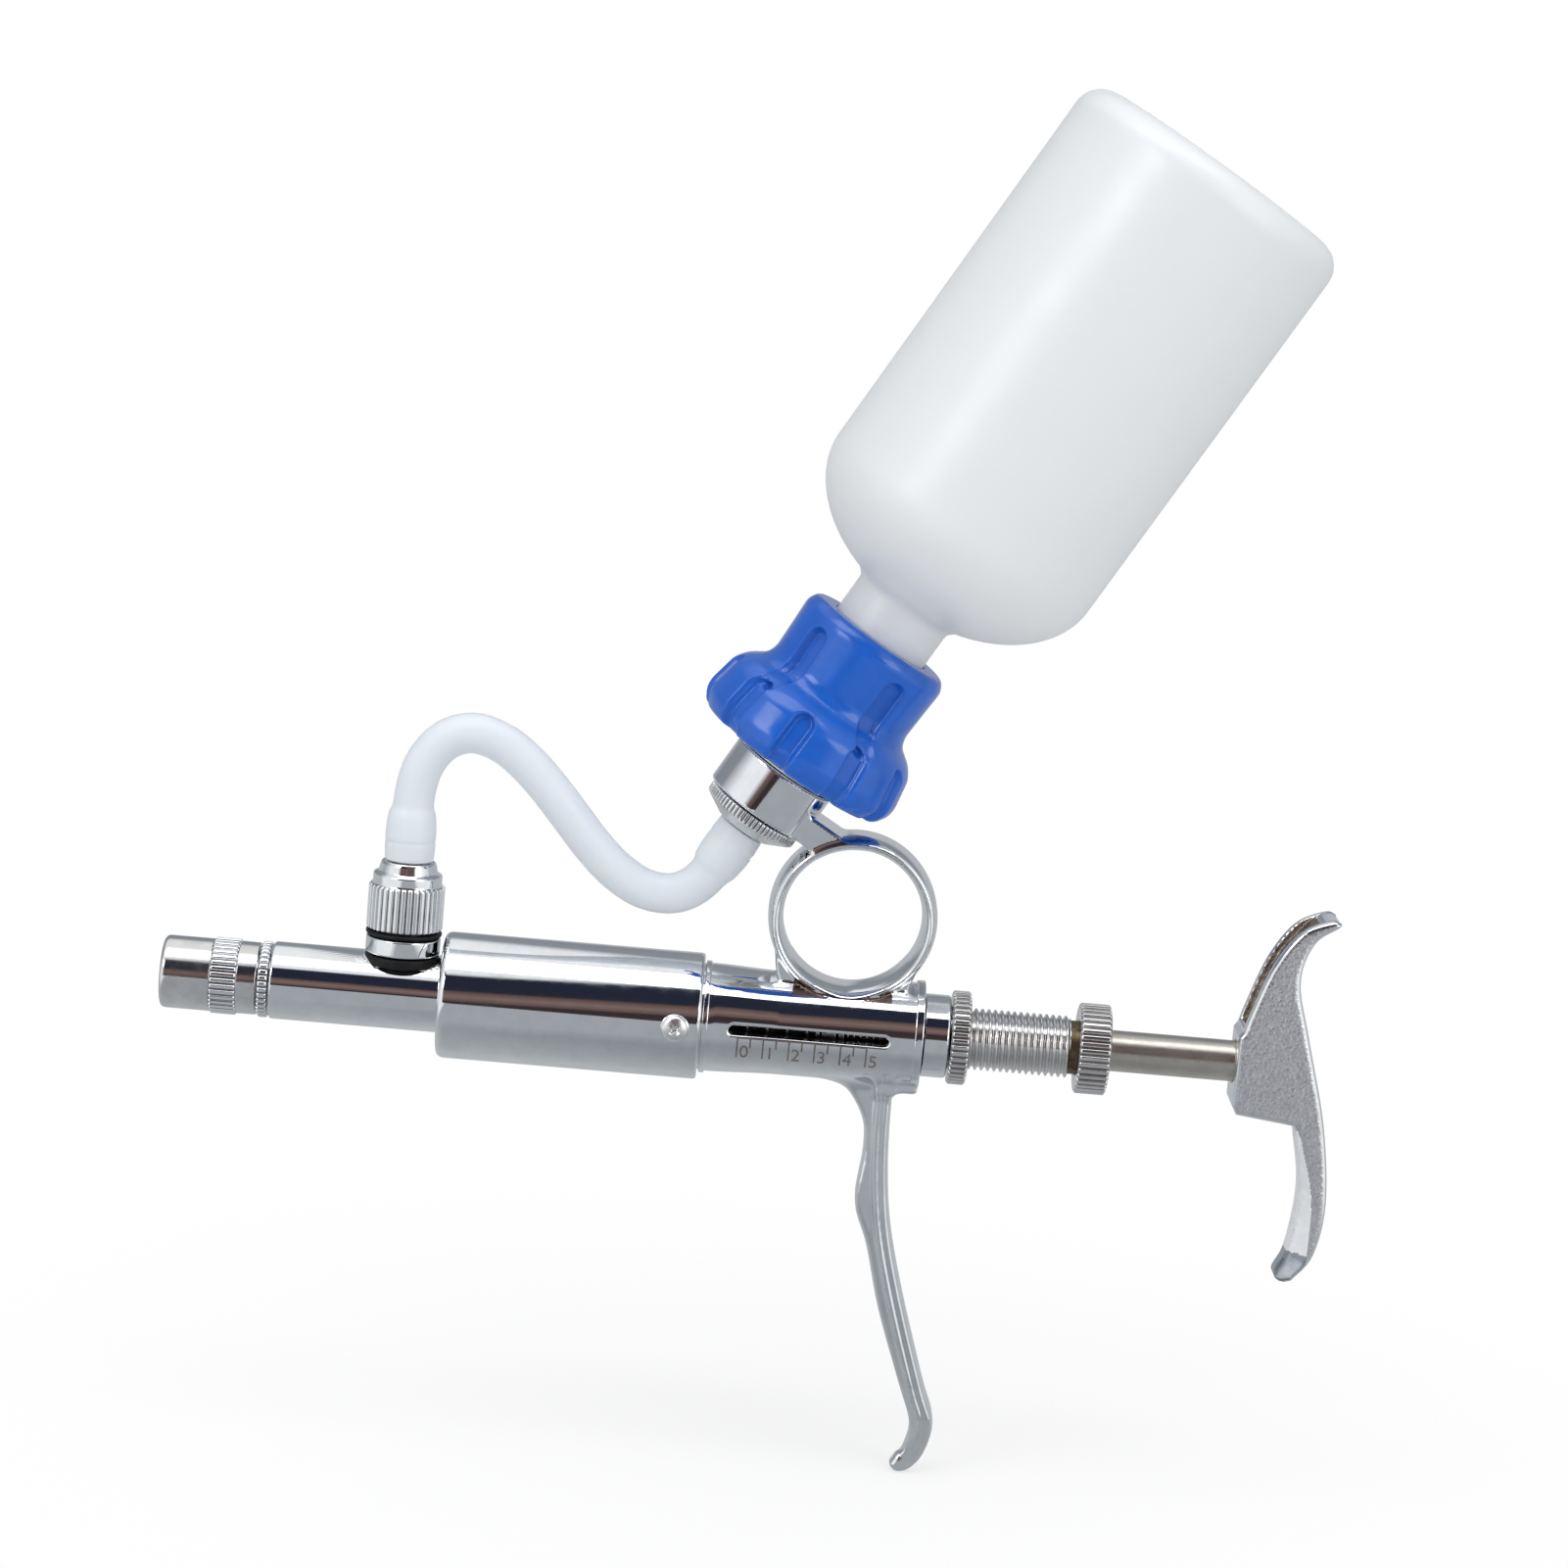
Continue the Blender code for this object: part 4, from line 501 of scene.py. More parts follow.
# %% [markdown]
# ## Turned pieces
# A lathe leaves no perfectly sharp edge, and it is the tiny round edges that catch the light. So each
# outline is drawn with sharp corners and softened by a small radius before it is turned. The normals
# are then weighted by the faces' areas, which keeps the flats flat in the mirror finish.

# %% Turning
EDGE = 0.22
EDGE_STEPS = 3
COLUMNS = 144


def softened(outline):
    """Round the corners of a closed (station, radius[, rounding]) outline, but not on the axis."""
    points = []
    corners = [Vector(corner[:2]) for corner in outline]
    for index, corner in enumerate(corners):
        before, after = corners[index - 1], corners[(index + 1) % len(corners)]
        wanted = outline[index][2] if len(outline[index]) > 2 else EDGE
        reach = min(wanted, 0.45 * (before - corner).length, 0.45 * (after - corner).length)
        if corner.y == 0 or wanted == 0:
            points.append(corner)
            continue
        a = corner + (before - corner).normalized() * reach
        b = corner + (after - corner).normalized() * reach
        steps = EDGE_STEPS if reach < 1 else 3 * EDGE_STEPS
        for step in range(steps + 1):
            t = step / steps
            points.append(a * (1 - t) ** 2 + corner * 2 * t * (1 - t) + b * t ** 2)
    return points


def weight_normals(mesh):
    """Give each point the mean normal of its faces, weighted by their areas."""
    normals = np.zeros((len(mesh.vertices), 3))
    for face in mesh.polygons:
        push = np.array(face.normal) * face.area
        for vert in face.vertices:
            normals[vert] += push
    lengths = np.linalg.norm(normals, axis=1)
    normals /= np.where(lengths > 0, lengths, 1.0)[:, None]
    mesh.shade_smooth()
    mesh.normals_split_custom_set_from_vertices(normals)


def spun(outline, columns=COLUMNS):
    """Turn a closed outline about Z."""
    bm = bmesh.new()
    points = [bm.verts.new((point[1] * MM, 0, point[0] * MM)) for point in outline]
    edges = [bm.edges.new(pair) for pair in zip(points, points[1:] + points[:1])
             if max(pair[0].co.x, pair[1].co.x) > 0]
    bmesh.ops.spin(bm, geom=points + edges, cent=(0, 0, 0), axis=(0, 0, 1), angle=math.tau,
                   steps=columns, use_merge=True)
    bmesh.ops.remove_doubles(bm, verts=bm.verts, dist=0.0002 * MM)
    bmesh.ops.recalc_face_normals(bm, faces=bm.faces)
    return bm


def turned(name, outline, place, *materials, columns=COLUMNS):
    """A turned piece with soft edges."""
    mesh = mesh_from(name, spun(softened(outline), columns), place)
    weight_normals(mesh)
    return add_object(name, mesh, *materials)


def ring(first, last, inner, outer, edge=EDGE):
    """A plain ring's outline."""
    return [(first, inner), (first, outer, edge), (last, outer, edge), (last, inner)]


# %% Turned pieces
FINE = 192
for name, node, slot, place, finish, columns, outline in (
        ("casing_sleeve", "casing", "chrome", ALONG_X, chrome, FINE, [
            (-78.2, 7.8), (-78.2, 12.26, 1.7), (-27.6, 12.26, 0.7), (-27.6, 10.6), (-76.2, 10.6), (-76.2, 7.8)]),
        ("rear_bush_ring", "rear_bush", "chrome", ALONG_X, chrome, COLUMNS, [
            (9.3, 6.15), (9.3, 7.3), (15.6, 7.3), (15.6, 8.06), (20.5, 8.06, 0.6), (20.5, 6.15)]),
        ("ground_rod", "piston_rod", "satin_nickel", ALONG_X, nickel, COLUMNS, [
            (-48.36, 0), (-48.36, 2.5), (-43.06, 2.5), (-43.06, 4.0), (87.19, 4.0, 0.6), (87.19, 0)]),
        ("stop_ring", "stop_collar", "spring_steel", ALONG_X, spring_steel, COLUMNS, ring(-4.2, -1.2, 4.3, 6.2, 0.5)),
        ("push_washer", "spring_washer", "spring_steel", ALONG_X, spring_steel, COLUMNS, ring(-5.3, -4.5, 4.3, 6.3)),
        ("window_ring", "thrust_ring", "spring_steel", ALONG_X, spring_steel, COLUMNS, ring(-0.9, 0.3, 4.3, 6.4)),
        ("inlet_washer", "inlet_gasket", "black_rubber", UP_INLET, black_rubber, COLUMNS,
         ring(5.4, 7.4, 4.3, 7.2, 0.6)),
        ("inlet_body_flange", "inlet_valve_body", "chrome", UP_INLET, chrome, COLUMNS, [
            (3.9, 1.2), (3.9, 4.0), (7.7, 4.0), (7.7, 7.2, 0.4), (11.0, 7.2, 0.4), (11.0, 5.0), (17.6, 5.0),
            (17.6, 2.6), (10.5, 2.6), (10.5, 1.2)]),
        ("inlet_seal_ring", "inlet_o_ring", "black_rubber", UP_INLET, black_rubber, COLUMNS,
         ring(11.3, 12.1, 5.3, 7.35, 0.38)),
        ("needle_cone_tip", "needle_cone", "plated_brass", ALONG_X, brass, COLUMNS, [
            (-131.6, 1.1), (-131.6, 1.98), (-126.2, 2.25), (-126.2, 2.7), (-123.8, 2.7), (-123.8, 5.0),
            (-122.5, 5.0), (-122.5, 3.3), (-116.8, 3.3), (-116.8, 2.3), (-122.5, 2.3), (-122.5, 1.1)]),
        ("socket_washer", "socket_gasket", "pale_rubber", UP_BOTTLE, pale_rubber, COLUMNS,
         ring(1.5, 2.4, 4.3, 11.0, 0.3))):
    stand_for(turned(name, outline, place, finish, columns=columns), slot, node)

# %% Bands on the barrel
for name, first, last, outer in (("barrel_ledge", -27.3, -26.2, 10.9), ("barrel_rear_band", 13.7, 15.3, 10.5)):
    band = turned(name, ring(first, last, 7.65, outer), ALONG_X, chrome, columns=FINE)
    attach(band, "root")

# %% Casing screw with its cross recess
SCREW_SEAT = -12.56
SCREW_TOP = SCREW_SEAT - 1.5
on_casing = across(-32.4, 0)
screw = turned("pan_head_screw", [
    (SCREW_TOP, 0), (SCREW_SEAT - 1.42, 1.1, 0.5), (SCREW_SEAT - 1.0, 2.35, 0.7), (SCREW_SEAT, 2.8, 0.3),
    (SCREW_SEAT, 1.5), (SCREW_SEAT + 4.6, 1.5, 0.4), (SCREW_SEAT + 4.6, 0)], on_casing, zinc, columns=72)
for turn_by in (45, 135):
    bm = bmesh.new()
    bmesh.ops.create_cone(bm, segments=4, radius1=0.30 * MM, radius2=0.55 * MM, depth=2.4 * MM, cap_ends=True)
    bmesh.ops.rotate(bm, verts=bm.verts, cent=(0, 0, 0), matrix=Matrix.Rotation(math.radians(45), 3, "Z"))
    bmesh.ops.scale(bm, vec=(4.2, 1.0, 1.0), verts=bm.verts)
    cut_away(screw, mesh_from("recess", bm, on_casing @ Matrix.Translation((0, 0, SCREW_TOP * MM)) @ Matrix.Rotation(
        math.radians(turn_by), 4, "Z") @ Matrix.Rotation(math.pi, 4, "X")))
smooth_above(screw, 35)
stand_for(screw, "spring_steel", "casing_screw")

# %% Valve head with its seat for the inlet
tube = turned("front_tube", [
    (-116.5, 1.2), (-116.5, 5.0), (-110.9, 5.0), (-110.9, 7.5, 0.5), (-75.9, 7.5), (-75.9, 10.3),
    (-72.9, 10.3), (-72.9, 3.0), (-113.5, 3.0), (-113.5, 1.2)], ALONG_X, chrome, columns=FINE)
cut_away(tube, mesh_from("seat", spun([
    (0, 0), (0, 1.5), (3.6, 1.5), (3.6, 4.3), (5.1, 4.3), (5.1, 7.35), (12, 7.35), (12, 0)], 96), UP_INLET))
weight_normals(tube.data)
stand_for(tube, "chrome", "valve_head")

# %% [markdown]
# ## Knurled pieces
# The nuts are gripped by straight ribs. A rib is drawn once, a few faces with a round back and tapered
# ends, and a small Geometry Nodes tree sets it round the axis as often as asked. The core is a turned
# piece whose surface is the bottom of the grooves. Ribs as geometry, rather than as bump, give the
# outline its teeth and throw real glints.

# %% Geometry Nodes: repeat round an axis
def geometry_tree(name, *inputs):
    """An empty geometry tree with named inputs, and a way to end it."""
    tree, given, result = node_tree("GeometryNodeTree", name, [
        ("Geometry", "Geometry"), *inputs, ("Finish", "Material")], [("Geometry", "Geometry")])

    def end(geometry):
        """Realize the instances and set the finish."""
        real = add_value(tree, "GeometryNodeRealizeInstances", 0, {"Geometry": geometry})
        add_value(tree, "GeometryNodeSetMaterial", 0, {
            "Geometry": real, "Material": given("Finish")}).to(result["Geometry"])

    return tree, given, end


def run_tree(obj, tree, values):
    """Run a tree on an object's mesh and keep what it makes as a plain mesh."""
    modifier = obj.modifiers.new(tree.name, "NODES")
    modifier.node_group = tree
    for item in tree.interface.items_tree:
        if item.item_type == "SOCKET" and item.in_out == "INPUT" and item.name in values:
            modifier[item.identifier] = values[item.name]
    mesh = evaluated_mesh(obj)
    obj.modifiers.remove(modifier)
    obj.data = mesh
    return mesh


round_axis, given, end = geometry_tree("Repeat round an axis", ("Count", "Int", 40), ("Radius", "Float", 0.008))
spots = add_value(round_axis, "GeometryNodePoints", 0, {"Count": given("Count")})
number = add_value(round_axis, "GeometryNodeInputIndex", 0)
turn = number * reckon(round_axis, "DIVIDE", math.tau, given("Count"))
turning = add_value(round_axis, "ShaderNodeCombineXYZ", 0, {"Z": turn})
outwards = add_value(round_axis, "ShaderNodeCombineXYZ", 0, {"X": given("Radius")})
moved = add_value(round_axis, "GeometryNodeTransform", 0, {"Geometry": given("Geometry"), "Translation": outwards})
end(add_value(round_axis, "GeometryNodeInstanceOnPoints", 0, {
    "Points": spots, "Instance": moved, "Rotation": turning}))


# %% A rib, and a knurled piece
RIB_SECTION = [(-0.30, -0.5), (0.50, -0.47), (0.84, -0.40), (0.98, -0.27), (1.0, -0.12), (1.0, 0.12),
               (0.98, 0.27), (0.84, 0.40), (0.50, 0.47), (-0.30, 0.5)]
RIB_TAPER = 0.45
RIB_EVEN = 0.06
RIB_SHARE = 0.78


def rib_mesh(first, last, width, height):
    """One rib along Z with a round back, its foot at X 0."""
    ends = [(0, 0.15), (0.5 * RIB_TAPER, 0.75), (RIB_TAPER, 1.0), (RIB_TAPER + RIB_EVEN, 1.0)]
    bm = bmesh.new()
    rows = []
    for station, share in ([(first + inwards, share) for inwards, share in ends]
                           + [(last - inwards, share) for inwards, share in reversed(ends)]):
        rows.append([bm.verts.new((out * (height * share if out > 0 else 1.0) * MM, side * width * MM, station * MM))
                     for out, side in RIB_SECTION])
    skin_between(bm, rows)
    return mesh_from("rib", bm)


def joined(name, parts):
    """Join meshes into one object, each with its own finishes."""
    bm = bmesh.new()
    materials = []
    for mesh in parts:
        before = len(bm.faces)
        bm.from_mesh(mesh)
        bm.faces.ensure_lookup_table()
        for face in bm.faces[before:]:
            face.material_index += len(materials)
        materials += mesh.materials[:]
    return add_object(name, mesh_from(name, bm), *materials)


def knurled(name, outline, bands, place, core_finish, rib_finish):
    """A turned core with bands of ribs: (first, last, foot radius, height, count)."""
    core = turned(name + "_core", outline, place, core_finish, groove_shade)
    to_axis = place.inverted()
    for face in core.data.polygons:
        middle = to_axis @ face.center / MM
        reach = math.hypot(middle.x, middle.y)
        in_band = any(first < middle.z < last and reach > foot - 0.3 for first, last, foot, *_ in bands)
        # Core faces inside a band lie under the ribs and get the dark chrome, painted shade at the groove bottoms.
        face.material_index = int(in_band)
    parts = [core.data]
    for first, last, foot, height, count in bands:
        width = RIB_SHARE * math.tau * (foot + height / 2) / count
        ribs = add_object(name + "_ribs", rib_mesh(first, last, width, height))
        smooth_above(ribs, 50)
        mesh = run_tree(ribs, round_axis, {"Count": count, "Radius": foot * MM, "Finish": rib_finish})
        mesh.transform(place)
        parts.append(mesh)
        bpy.data.objects.remove(ribs)
    bpy.data.objects.remove(core)
    return joined(name, parts)


# %% The knurled nuts, ring, knob and fitting
for name, node, place, core_finish, rib_finish, band, outline in (
        ("knurled_lock_ring", "lock_ring", ALONG_X, turned_steel, chrome, (-113.2, -111.2, 6.95, 0.45, 38),
         ring(-113.2, -111.2, 5.3, 7.0)),
        ("knurled_needle_nut", "needle_nut", ALONG_X, turned_steel, chrome, (-122.5, -117.2, 6.8, 0.6, 38), [
            (-132.1, 4.3), (-132.1, 7.05, 1.5), (-122.5, 7.05, 0.1), (-122.3, 6.85, 0.1), (-117.4, 6.85, 0.1),
            (-117.2, 7.05, 0.1), (-113.5, 7.0), (-113.5, 5.3), (-124.1, 5.3), (-124.1, 3.0), (-125.9, 3.0),
            (-125.9, 4.3)]),
        ("knurled_inlet_nut", "inlet_nut", UP_INLET, chrome, chrome, (12.4, 21.2, 6.9, 0.45, 36), [
            (12.4, 5.3), (12.4, 6.9), (12.8, 7.0), (20.8, 7.0), (21.4, 6.65), (23.3, 6.65, 0.35), (23.6, 5.75),
            (25.3, 5.35, 0.3), (25.7, 5.1), (25.7, 3.15), (20.9, 3.15), (20.9, 5.3)]),
        ("knurled_lock_nut", "lock_nut", ALONG_X, turned_steel, turned_steel, (20.8, 24.4, 8.55, 0.55, 44),
         ring(20.8, 24.4, 6.15, 8.65, 0.4)),
        ("knurled_knob", "dose_knob", ALONG_X, turned_steel, turned_steel, (45.6, 51.65, 8.25, 0.55, 40),
         ring(45.6, 51.65, 5.5, 8.35, 0.4)),
        ("knurled_hose_fitting", "hose_fitting", UP_BOTTLE, turned_steel, chrome, (-10.9, -8.7, 9.35, 0.45, 66), [
            (9.4, 1.5), (9.4, 4.0), (-8.7, 4.0), (-8.7, 9.4), (-10.9, 9.4), (-13.0, 5.6), (-13.0, 2.85),
            (-13.3, 2.85), (-13.9, 3.4), (-16.1, 2.85), (-16.7, 3.4), (-18.9, 2.85), (-19.5, 3.4), (-21.7, 2.3),
            (-21.7, 1.5)])):
    stand_for(knurled(name, outline, [band], place, core_finish, rib_finish), "chrome", node)

# %% [markdown]
# ## Shapes that follow a rule
# The dose sleeve is a cylinder whose radius rises and falls with the thread: the height of a point along
# the axis, less its share of a turn, says where on the tooth it is. The cap's grip grooves follow a
# similar rule round its axis. Both rules are small trees that move the points of a turned piece, so the
# pitch or the number of grooves is one value to change.

# %% Geometry Nodes: thread
def polar(tree):
    """Each point's X, Y and Z, its angle about Z and its distance from the Z axis."""
    place = add_value(tree, "GeometryNodeInputPosition", 0)
    parts = add_node(tree, "ShaderNodeSeparateXYZ", {0: place}).outputs
    x, y, z = (Value(tree, parts[label]) for label in "XYZ")
    return x, y, z, y.math("ARCTAN2", x), (x * x + y * y).math("SQRT")


def moved_out(tree, geometry, x, y, z, reach, shift):
    """A geometry whose points are moved away from the Z axis."""
    grown = (reach + shift) / reach
    place = add_value(tree, "ShaderNodeCombineXYZ", 0, {"X": x * grown, "Y": y * grown, "Z": z})
    return add_value(tree, "GeometryNodeSetPosition", 0, {"Geometry": geometry, "Position": place})


thread_rule, given, end = geometry_tree(
    "Thread rule", ("Pitch", "Float", 0.00125), ("Depth", "Float", 0.0007), ("Crest", "Float", 0.006))
x, y, z, angle, reach = polar(thread_rule)
turns = z / given("Pitch") - angle / math.tau
flank = (turns * 2.0).math("PINGPONG", 1.0).ranged(0.12, 0.88, interpolation_type="SMOOTHSTEP")
outside = reach.math("GREATER_THAN", given("Crest") * 0.995)
end(moved_out(thread_rule, given("Geometry"), x, y, z, reach, flank * given("Depth") * (outside * -1.0)))

# %% Dose sleeve
SLEEVE_ROWS = 340
THREAD_END = 44.0
sleeve_outline = ([(0.6, 4.3), (0.6, 5.3)] + [(station, 6.0) for station in np.linspace(0.6, THREAD_END, SLEEVE_ROWS)]
                  + [(THREAD_END, 5.3), (44.05, 5.2), (51.65, 5.2), (51.65, 4.3)])
sleeve = add_object("threaded_sleeve", mesh_from("threaded_sleeve", spun(sleeve_outline, 48)))
run_tree(sleeve, thread_rule, {"Pitch": 1.25 * MM, "Depth": 0.7 * MM, "Crest": 6.0 * MM, "Finish": turned_steel})
sleeve.data.transform(ALONG_X)
# The neck behind the thread takes the dark brown metal.
sleeve.data.materials.append(dark_neck)
for face in sleeve.data.polygons:
    face.material_index = int(face.center.x > THREAD_END * MM)
smooth_above(sleeve, 60)
stand_for(sleeve, "chrome", "dose_sleeve")

# %% Geometry Nodes: grip grooves
grip_rule, given, end = geometry_tree(
    "Grip groove rule", ("Count", "Int", 9), ("Phase", "Float", 0.0), ("Depth", "Float", 0.002),
    ("Width", "Float", 0.0044), ("Bottom", "Float", 0.0), ("Top", "Float", 0.01), ("Inside", "Float", 0.01))
x, y, z, angle, reach = polar(grip_rule)
half_pitch = reckon(grip_rule, "DIVIDE", math.tau, given("Count")) * 0.5
half_width = given("Width") * 0.5
away = (angle - given("Phase")).math("PINGPONG", half_pitch) * reach / half_width
past_end = ((z - given("Top")).math("MAXIMUM", given("Bottom") - z) / half_width).math("MAXIMUM", 0.0)
gap = (away * away + past_end * past_end).math("SQRT")
hollow = gap.ranged(1.08, 0.68, interpolation_type="SMOOTHSTEP")
share = hollow * reach.math("GREATER_THAN", given("Inside"))
end(moved_out(grip_rule, given("Geometry"), x, y, z, reach, share * (given("Depth") * -1.0)))

# %% Cap
CAP_STEP = 0.375


def resampled(points, step):
    """Add points so that no two that follow each other are further apart than a step."""
    dense = []
    for a, b in zip(points, points[1:] + points[:1]):
        count = max(1, math.ceil((b - a).length / step))
        dense += [a.lerp(b, index / count) for index in range(count)]
    return dense


cap_outline = softened([
    (2.7, 4.3), (2.7, 19.9, 1.5), (5.2, 21.4, 1.8), (7.0, 21.6, 1.5), (13.0, 20.5, 1.6), (15.2, 18.9, 1.6),
    (17.3, 15.9, 1.6), (19.4, 15.15, 1.5), (26.0, 15.4, 1.5), (30.4, 15.6, 0.9), (32.4, 14.4, 1.0),
    (32.4, 10.3), (6.2, 10.3), (6.2, 4.3)])
cap = add_object("grip_cap", mesh_from("grip_cap", spun(resampled(cap_outline, CAP_STEP), 360)))
for count, phase, bottom, top, inside in ((10, -101.5, -5.0, 12.2, 17.6), (5, -63.0, 15.0, 26.0, 13.2)):
    run_tree(cap, grip_rule, {
        "Count": count, "Phase": math.radians(phase), "Depth": 1.7 * MM, "Width": 4.7 * MM,
        "Bottom": bottom * MM, "Top": top * MM, "Inside": inside * MM, "Finish": blue_plastic})
cap.data.transform(UP_BOTTLE)
smooth_above(cap, 60)
stand_for(cap, "blue_plastic", "cap")

# %% [markdown]
# ## The bottle
# A blown bottle has an even thin wall, a shoulder that is nearly an ellipse, and a base that is drawn in
# so that the bottle stands on its rim. Both skins are in one outline: up the outside and back down the
# inside.

# %% Bottle
BOTTLE_R = 29.15
BOTTLE_BASE = 141.2
BOTTLE_WALL = 1.2
BOTTLE_CORNER = 5.5
NECK_R = 10.0
SHOULDER_END = 59.6
SHOULDER_DEPTH = 19.9
SHOULDER_STEPS = 24
CORNER_STEPS = 12


def bottle_skin(inset):
    """The bottle's outside, or its inside, from the neck's rim to the middle of the base."""
    wide, high = BOTTLE_R - inset, SHOULDER_DEPTH - inset
    neck = NECK_R - inset
    first = math.asin(neck / wide)
    skin = [(8.3, neck), (SHOULDER_END - high * math.cos(first) - 0.8, neck, 1.5)]
    for step in range(1, SHOULDER_STEPS + 1):
        angle = first + (math.pi / 2 - first) * step / SHOULDER_STEPS
        skin.append((SHOULDER_END - high * math.cos(angle), wide * math.sin(angle), 0))
    corner = BOTTLE_CORNER - inset
    for step in range(CORNER_STEPS + 1):
        angle = math.pi / 2 * step / CORNER_STEPS
        skin.append((BOTTLE_BASE - BOTTLE_CORNER + corner * math.sin(angle),
                     BOTTLE_R - BOTTLE_CORNER + corner * math.cos(angle), 0))
    base = BOTTLE_BASE - inset
    return skin + [(base - 0.2, 19.5, 1.0), (base - 1.6, 16.0, 1.5), (base - 2.0, 0)]


bottle = turned("blown_bottle", bottle_skin(0) + bottle_skin(BOTTLE_WALL)[::-1], UP_BOTTLE, bottle_plastic,
                columns=160)
stand_for(bottle, "bottle_plastic", "bottle")

# %% [markdown]
# ## The casting
# Barrel, finger ring, bottle arm, socket and finger lever are one casting, and every joint flows into
# the next with a fillet. That is easy with distances: a function gives how far any point is from the
# surface, and two shapes are blended by a soft minimum of their distances. The CAD node gives a fine even
# mesh, each of its points slides down the distance to the surface, and the slope of the distance is the
# exact normal, which the mirror finish needs.

# %% Distance helpers
def soft_max(a, b, k):
    """The larger of two distances, with a rounding of about k between them."""
    h = np.clip(0.5 + 0.5 * (a - b) / k, 0.0, 1.0)
    return b + (a - b) * h + k * h * (1.0 - h)


def soft_min(a, b, k):
    """The smaller of two distances, with a fillet of about k between them."""
    return -soft_max(-a, -b, k)


def line_distance(u, v, points):
    """Distance to a row of points in a plane."""
    best = np.full(len(u), 1e12)
    for (au, av), (bu, bv) in zip(points, points[1:]):
        du, dv = bu - au, bv - av
        t = np.clip(((u - au) * du + (v - av) * dv) / (du * du + dv * dv + 1e-12), 0.0, 1.0)
        best = np.minimum(best, (u - au - t * du) ** 2 + (v - av - t * dv) ** 2)
    return np.sqrt(best)


def inside_outline(u, v, points):
    """Whether each point of a plane is inside a closed outline."""
    inside = np.zeros(len(u), bool)
    for (au, av), (bu, bv) in zip(points, points[1:] + points[:1]):
        if av != bv:
            inside ^= ((av > v) != (bv > v)) & (u < (bu - au) * (v - av) / (bv - av) + au)
    return inside


def outline_distance(u, v, points):
    """Signed distance to a closed outline, negative inside."""
    distance = line_distance(u, v, points + points[:1])
    return np.where(inside_outline(u, v, points), -distance, distance)


def slope(field, points, step=0.01):
    """How a field changes at each point, from four nearby values."""
    corners = np.array([(1, -1, -1), (-1, -1, 1), (-1, 1, -1), (1, 1, 1)], float)
    return sum(corner * field(points + step * corner)[:, None] for corner in corners) / (4 * step)


SLIDE_ROUNDS = 5


def recast(name, node, field, voxel, *materials, added=()):
    """Remesh a copy of a node, with solids added, and slide its points to where the field is zero."""
    bm = bmesh.new()
    bm.from_mesh(frame["nodes"][node].data)
    bmesh.ops.remove_doubles(bm, verts=bm.verts, dist=0.001 * MM)
    for solid in added:
        bm.from_mesh(solid)
    obj = add_object(name, mesh_from(name, bm))
    voxels = obj.modifiers.new("Even mesh", "REMESH")
    voxels.mode = "VOXEL"
    voxels.voxel_size = voxel * MM
    mesh = evaluated_mesh(obj)
    bpy.data.objects.remove(obj)
    points = np.zeros(len(mesh.vertices) * 3)
    mesh.vertices.foreach_get("co", points)
    points = points.reshape(-1, 3) / MM
    edges = np.zeros(len(mesh.edges) * 2, int)
    mesh.edges.foreach_get("vertices", edges)
    ends = np.concatenate([edges.reshape(-1, 2), edges.reshape(-1, 2)[:, ::-1]])
    shares = np.bincount(ends[:, 0], minlength=len(points)).astype(float)
    for _ in range(SLIDE_ROUNDS):
        means = np.column_stack([np.bincount(ends[:, 0], points[ends[:, 1], axis], len(points)) / shares
                                 for axis in range(3)])
        points = 0.5 * points + 0.5 * means
        for _ in range(3):
            steep = slope(field, points)
            size = np.maximum((steep ** 2).sum(1), 0.05)
            points -= np.clip(field(points) / size, -0.5, 0.5)[:, None] * steep
    mesh.vertices.foreach_set("co", (points * MM).ravel())
    mesh.update()
    steep = slope(field, points)
    mesh.shade_smooth()
    mesh.normals_split_custom_set_from_vertices(steep / np.linalg.norm(steep, axis=1)[:, None])
    print(f"{name}: {len(points)} points, the furthest {np.abs(field(points)).max():.3f} mm off the surface")
    return add_object(name, mesh, *materials)


# %% Casting: its shapes as distances
LEVER_FRONT = [(-3.4, 2.4), (1.6, -1.2), (5.3, -7.0), (6.1, -13.5), (5.4, -24.0), (8.4, -32.5), (11.8, -45.0),
               (16.9, -59.0), (20.0, -67.5), (19.4, -72.5), (17.9, -75.2), (17.1, -76.6)]
LEVER_REAR = [(10.3, 2.6), (10.4, -2.5), (10.5, -9.0), (10.9, -16.5), (11.9, -25.0), (13.7, -33.5),
              (17.0, -45.0), (21.7, -59.5), (24.3, -67.0), (23.2, -73.6), (21.2, -76.7), (19.2, -77.8),
              (17.6, -77.6)]
BARREL_R = 10.05
RING_HALF = 6.8
RING_FLATNESS = 3.5
ARM_HALF = 6.4
ARM_ALONG = -5.62
ROOT_X = -0.7
FOOT_X = 11.6
LEVER_TOP = -10.6
lever_front = [(p.x, p.y - BARREL_R) for p in smooth_line(LEVER_FRONT, 5)]
lever_rear = [(p.x, p.y - BARREL_R) for p in smooth_line(LEVER_REAR, 5)]
lever_outline = lever_front + lever_rear[::-1]


def barrel_radius(x):
    """The barrel's radius, which is a little larger in front."""
    swell = np.clip((x + 26.3) / 14.0, 0.0, 1.0)
    return BARREL_R + 0.45 * (1.0 - swell * swell * (3.0 - 2.0 * swell))


def barrel_field(x, y, z):
    """The barrel, a little wider in front, with the spigot that goes into the casing."""
    radius = np.where(x < -26.8, 10.3, barrel_radius(x))
    return soft_max(np.hypot(y, z) - radius, np.abs(x + 11.1) - 26.4, 0.5)


